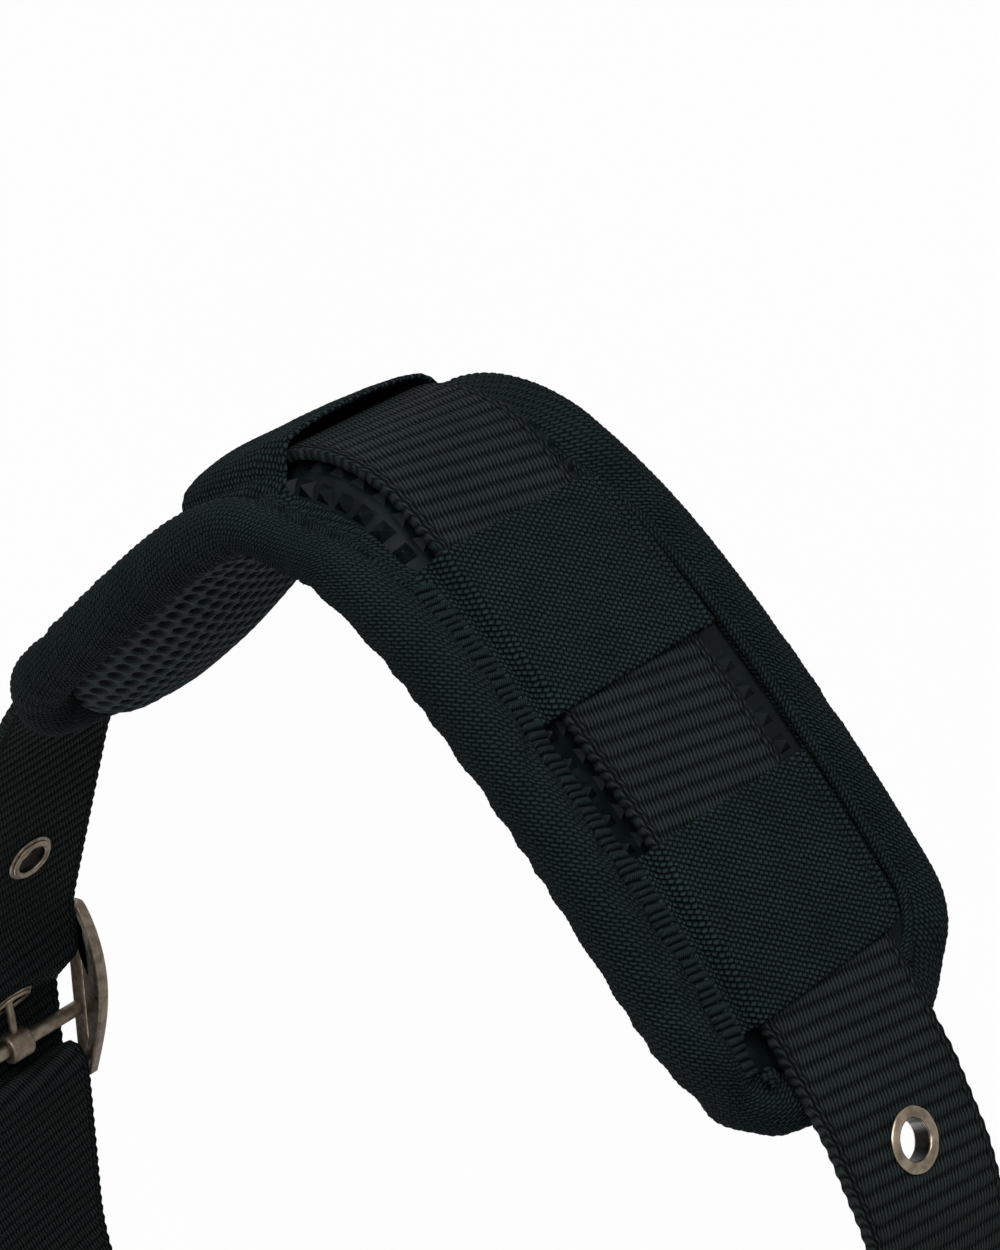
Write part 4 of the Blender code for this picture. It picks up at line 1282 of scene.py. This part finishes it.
@dataclass
class Seam:
    """The strip on the pad's near edge, bound and then overcast, its end knot, and the far edge's welt."""

    pad: Pad
    first: float = -34.0
    change: float = 30.0
    last: float = 168.0
    inner: float = 29.6
    outer: float = 35.4
    low: float = -2.6
    high: float = -0.4
    covered: float = 2.2
    cover_span: Span = (27.0, 4.0)
    binding: float = 0.15
    bar: float = 0.6
    slant: float = 1.1
    step: float = 0.26
    columns: int = 14
    welt: float = 1.5
    welt_inset: float = 1.2
    welt_level: float = 3.9
    knot: tuple[float, float, float] = (170.0, 0.6, 29.5)
    knot_turns: float = 2.1
    knot_thread: float = 0.6

    def build_strip(self, name: str, first: float, last: float, bar: float, finish: Material) -> None:
        """Build a run of the near edge's strip.

        Args:
            name: The piece's name.
            first: The station where it starts.
            last: The station where it ends.
            bar: Half the height of its bars.
            finish: Its material.
        """
        s = np.linspace(first, last, round((last - first) / self.step))[:, None]
        share = np.linspace(0.0, 1.0, self.columns)
        z = self.inner + (self.outer - self.inner) * share
        lean = s + self.slant * (share - 0.5) + 0.25 * np.sin(s * 0.9)
        bars = ridges(lean, ThreadFinish.stitch) ** 0.7
        reach, ease = self.cover_span
        loops = [np.clip((reach - np.abs(s - centre)) / ease, 0.0, 1.0) for _, centre, _ in self.pad.loops]
        low = self.low + self.covered * np.max(loops, axis=0)
        round_end = np.sin(np.pi * (share * 0.94 + 0.03)) ** 0.35
        level = low + (self.high - low) * share + (bar * 2 * bars - self.bar) * round_end
        level = np.where(share == 0.0, self.pad.panel_top - 0.5, np.where(share == 1.0, -4.0, level))
        points = self.pad.path.place(s, level - self.pad.dip(s, z), z)
        strip = Cloth.grid(name, points[:, ::-1], Form.SHEET, stacked(lean, z)[:, ::-1])
        Cloth.dress(strip, finish, Slot.BORDER, Body.BELT)

    def build(self, cloth: Material) -> None:
        """Build the strip, the knot and the welt."""
        pad, thread = self.pad, ThreadFinish().material()
        self.build_strip("seam_binding", self.first, self.change, self.binding, cloth)
        self.build_strip("seam_stitches", self.change, self.last, self.bar, thread)

        turn = np.linspace(0.0, self.knot_turns * 2 * math.pi, 120)
        reach = 0.2 + 0.16 * turn
        s, q, z = self.knot
        coil = pad.path.place(s + reach * np.cos(turn), q - 0.12 * turn, z + reach * np.sin(turn))
        knot = Cloth.cord("stitch_knot", coil, np.full(len(coil), self.knot_thread), 10)
        Cloth.dress(knot, thread, Slot.BORDER, Body.BELT)

        s = np.linspace(2.0 - pad.end, pad.end - 2.0, 420)
        far = np.full_like(s, pad.border - pad.width / 2)
        edge = pad.spread * pad.bunch(s, far) - pad.half_width(s, -1.0) - self.welt_inset
        edge = edge - pad.stand_back(s, far)
        line = pad.path.place(s, pad.border_level(s, far) + self.welt_level, edge)
        welt = Cloth.cord("seam_welt", line, self.welt + 0.12 * np.sin(s * 1.3), 14)
        Cloth.dress(welt, cloth, Slot.BORDER, Body.BELT)


@dataclass
class Buckle:
    """The buckle's frame, its tongue bar and its tongue, with softened edges."""

    path: BeltPath
    bar: float = 2.5
    bar_level: float = 4.5
    bar_end: float = 0.6
    tongue_offset: float = 39.0
    plate_mid: float = 28.6
    plate_half: float = 2.0
    plate_soft: float = 0.9
    nose: float = 3.6
    rise: float = 2.6
    bow: float = 9.5
    heel_reach: float = 5.0
    tongue_radius: float = 1.4
    tongue_gap: float = 0.3
    overhang: float = 4.0
    collar: float = 5.1
    collar_bore: float = 2.8
    collar_half: float = 4.5
    collar_soft: float = 1.0

    def build(self, metal: Material) -> None:
        """Build the frame, the bar and the tongue on the buckle's straight run."""
        mid, heel = self.plate_mid, -self.path.hoop.heel_bar
        frame = [self.plate(mid), self.plate(-mid), self.rod(0.0, mid), self.rod(heel, mid)]
        self.join("bowed_frame", frame, metal, Body.BELT, "buckle_frame")
        pin = self.rod(-self.tongue_offset, mid + self.plate_half + 0.35)
        self.join("smooth_bar", [pin], metal, Body.BELT, "tongue_bar")
        self.join("curled_tongue", [self.curl(), self.shaft()], metal, Body.TONGUE, "tongue")

    def join(self, name: str, pieces: list[Object], metal: Material, body: Body, node: str) -> None:
        """Join pieces into one, put it on the hoop and dress it."""
        first = pieces[0]
        with bpy.context.temp_override(active_object=first, object=first, selected_editable_objects=pieces,
                                       selected_objects=pieces):
            bpy.ops.object.join()
        first.name = name
        first.data.name = name
        first.data.transform(self.path.straight())
        first.data.update()
        Cloth.dress(first, metal, Slot.METAL, body, node)

    def rod(self, s: float, half: float) -> Object:
        """Return a round bar across the buckle with domed ends."""
        turn = quarter(6)
        ends = half - self.bar_end + self.bar_end * np.sin(turn)
        z = np.concatenate([-ends[::-1], np.linspace(-half + 1.0, half - 1.0, 24), ends])
        cap = self.bar * (0.72 + 0.28 * np.cos(turn))
        radius = np.concatenate([cap[::-1], np.full(24, self.bar), cap])
        return Cloth.cord("rod", stacked(s, self.bar_level, z), radius, 24)

    def plate(self, z: float) -> Object:
        """Return one side plate: bowed on the body side, straight outside and rounded at its edges."""
        share = np.linspace(0.0, 1.0, 41)
        first, last = self.nose, -self.path.hoop.heel_bar - self.nose - self.heel_reach
        bowed = self.bar_level - self.rise - self.bow * np.sin(math.pi * share ** 0.75)
        outer = np.linspace(last + self.rise / 2, first - self.rise / 2, 41)
        corners = [*stacked(first + (last - first) * share, bowed),
                   *stacked(outer, self.bar_level + self.rise)]
        outline = even(rounded([*corners[-2:], *corners, *corners[:2]], 2.0)[10:-10], 0.9)[0]
        inward = sides(outline, closed=True)
        inward *= np.sign(np.sum(inward * (outline.mean(axis=0) - outline)))
        turn, soft = quarter(6), self.plate_soft
        inset, height = soft * (1 - np.sin(turn)), self.plate_half - soft + soft * np.cos(turn)
        insets, heights = np.concatenate([inset, inset[::-1]]), np.concatenate([height, -height[::-1]])
        spots = outline[:, None] + inward[:, None] * insets[:, None]
        return Cloth.grid("plate", stacked(spots[..., 0], spots[..., 1], z + heights), Form.PLATE)

    def curl(self) -> Object:
        """Return the collar that is curled round the tongue bar."""
        wall, half, soft, bore = self.collar, self.collar_half, self.collar_soft, self.collar_bore
        profile = [(wall - soft + soft * math.cos(t), half - soft + soft * math.sin(t)) for t in quarter(5)]
        profile += [(bore + 0.3, half), (bore, half - 0.3)]
        profile += [(r, -h) for r, h in reversed(profile)]
        points = turned(np.array(profile), 40) + (-self.tongue_offset, self.bar_level, 0.0)
        return Cloth.grid("curl", points, Form.RING)

    def shaft(self) -> Object:
        """Return the tongue's shaft with a rounded tip."""
        angle = math.atan2(self.bar + self.tongue_gap + self.tongue_radius, self.tongue_offset)
        reach = self.tongue_offset / math.cos(angle) + self.overhang
        tip, thick = quarter(7)[1:], self.tongue_radius
        body, end = np.linspace(self.bar + 1.5, reach - 1.5, 30), reach - thick + thick * np.sin(tip)
        along = np.concatenate([body, end])
        radius = thick * np.concatenate([np.ones(30), np.maximum(np.cos(tip), 0.06)])
        s, q = along * math.cos(angle) - self.tongue_offset, self.bar_level + along * math.sin(angle)
        return Cloth.cord("shaft", stacked(s, q, 0.0), radius, 20)


@dataclass(frozen=True)
class Lamp:
    """A soft square lamp that faces the belt, placed in metres."""

    name: str
    spot: tuple[float, float, float]
    size: float
    power: float
    aim: tuple[float, float, float] = (0.0, 0.0, 0.05)

    def build(self) -> None:
        """Add the lamp."""
        data = bpy.data.lights.new(self.name, "AREA")
        data.size = self.size
        data.energy = self.power
        lamp = added(self.name, data)
        lamp.location = self.spot
        lamp.rotation_euler = (Vector(self.aim) - Vector(self.spot)).to_track_quat("-Z", "Y").to_euler()


@dataclass
class Stage:
    """Camera, light and floor."""

    focal: float = 3142.28
    eye: tuple[float, float, float] = (205.584, 738.376, 546.231)
    right: tuple[float, float, float] = (0.681521, 0.300849, -0.667097)
    down: tuple[float, float, float] = (0.658421, -0.649945, 0.379544)
    ahead: tuple[float, float, float] = (-0.319391, -0.697898, -0.641036)
    image_width: float = 1000.0
    lamps: tuple[Lamp, ...] = (Lamp("key", (-0.1, 1.5, 0.75), 1.2, 33.0),
                               Lamp("rim", (0.2, -1.4, 0.6), 0.6, 11.0))
    sky: Colour = (0.92, 0.96, 1.0)
    sky_strength: float = 0.1
    floor_half: float = 6000.0
    floor_level: float = -0.5
    floor_grey: float = 0.4
    floor_white: float = 0.98

    def build(self) -> None:
        """Set up the view, the lamps, the sky and the floor."""
        scene = bpy.context.scene
        scene.view_settings.view_transform = "Standard"
        data = bpy.data.cameras.new("camera")
        data.sensor_fit = "HORIZONTAL"
        data.sensor_width = 36.0
        data.lens = self.focal / self.image_width * data.sensor_width
        camera = added("camera", data)
        turn = Matrix((self.right, [-c for c in self.down], [-c for c in self.ahead])).transposed().to_4x4()
        camera.matrix_world = Matrix.Translation(Vector(self.eye) * MM) @ turn
        scene.camera = camera
        for lamp in self.lamps:
            lamp.build()
        scene.world = bpy.data.worlds.new("studio")
        sky = Shading(scene.world)
        light = sky.feed(sky.tree.nodes["Background"], {0: (*self.sky, 1.0), 1: self.sky_strength})
        self.whiten(sky, light, "ShaderNodeBackground", "World Output", 1.0)
        half, level = self.floor_half, self.floor_level
        corners = [(-half, -half, level), (half, -half, level), (half, half, level), (-half, half, level)]
        floor = Cloth.mesh("floor", np.array(corners), [[0, 1, 2, 3]])
        shade = Shading(bpy.data.materials.new("floor"))
        grey = {"Base Color": (self.floor_grey, self.floor_grey, self.floor_grey, 1.0), "Roughness": 0.9}
        paint = shade.feed(shade.tree.nodes["Principled BSDF"], grey)
        self.whiten(shade, paint, "ShaderNodeEmission", "Material Output", self.floor_white)
        floor.data.materials.append(shade.owner)

    @staticmethod
    def whiten(shade: Shading, lit: Node, kind: str, output: str, share: float) -> None:
        """Show white to rays that show the background: to the camera, mirrored or passing through.

        Args:
            shade: The nodes of the floor or the world.
            lit: The shader that other rays see.
            kind: The kind of the white shader.
            output: The name of the output node.
            share: How much of the white is shown.
        """
        rays = shade.node("ShaderNodeLightPath", {}, {})
        camera, glossy, through = (Value(shade, rays.outputs[f"Is {name} Ray"])
                                   for name in ("Camera", "Glossy", "Transmission"))
        white = shade.node(kind, {}, {"Color": (1.0, 1.0, 1.0, 1.0)})
        shown = camera.larger(glossy).larger(through) * share
        mix = shade.node("ShaderNodeMixShader", {}, {0: shown, 1: lit.outputs[0], 2: white.outputs[0]})
        shade.feed(shade.tree.nodes[output], {0: mix.outputs[0]})


def main() -> None:
    """Dress the frame from the straps outward."""
    logging.basicConfig(level=logging.INFO)
    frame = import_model()
    LOG.info("frame with %d entries", len(frame))
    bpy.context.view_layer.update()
    path = BeltPath(Hoop())
    # The darker steel is the buckle's worn finish, and painted shade on the buckle-side eyelets.
    aged, worn_and_shaded = AGED_STEEL.material(), WORN_AND_SHADED_STEEL.material()
    Webbing(path).build(aged, worn_and_shaded)
    Pad(path).build()
    Buckle(path).build(worn_and_shaded)
    Stage().build()


if __name__ == "__main__":
    main()
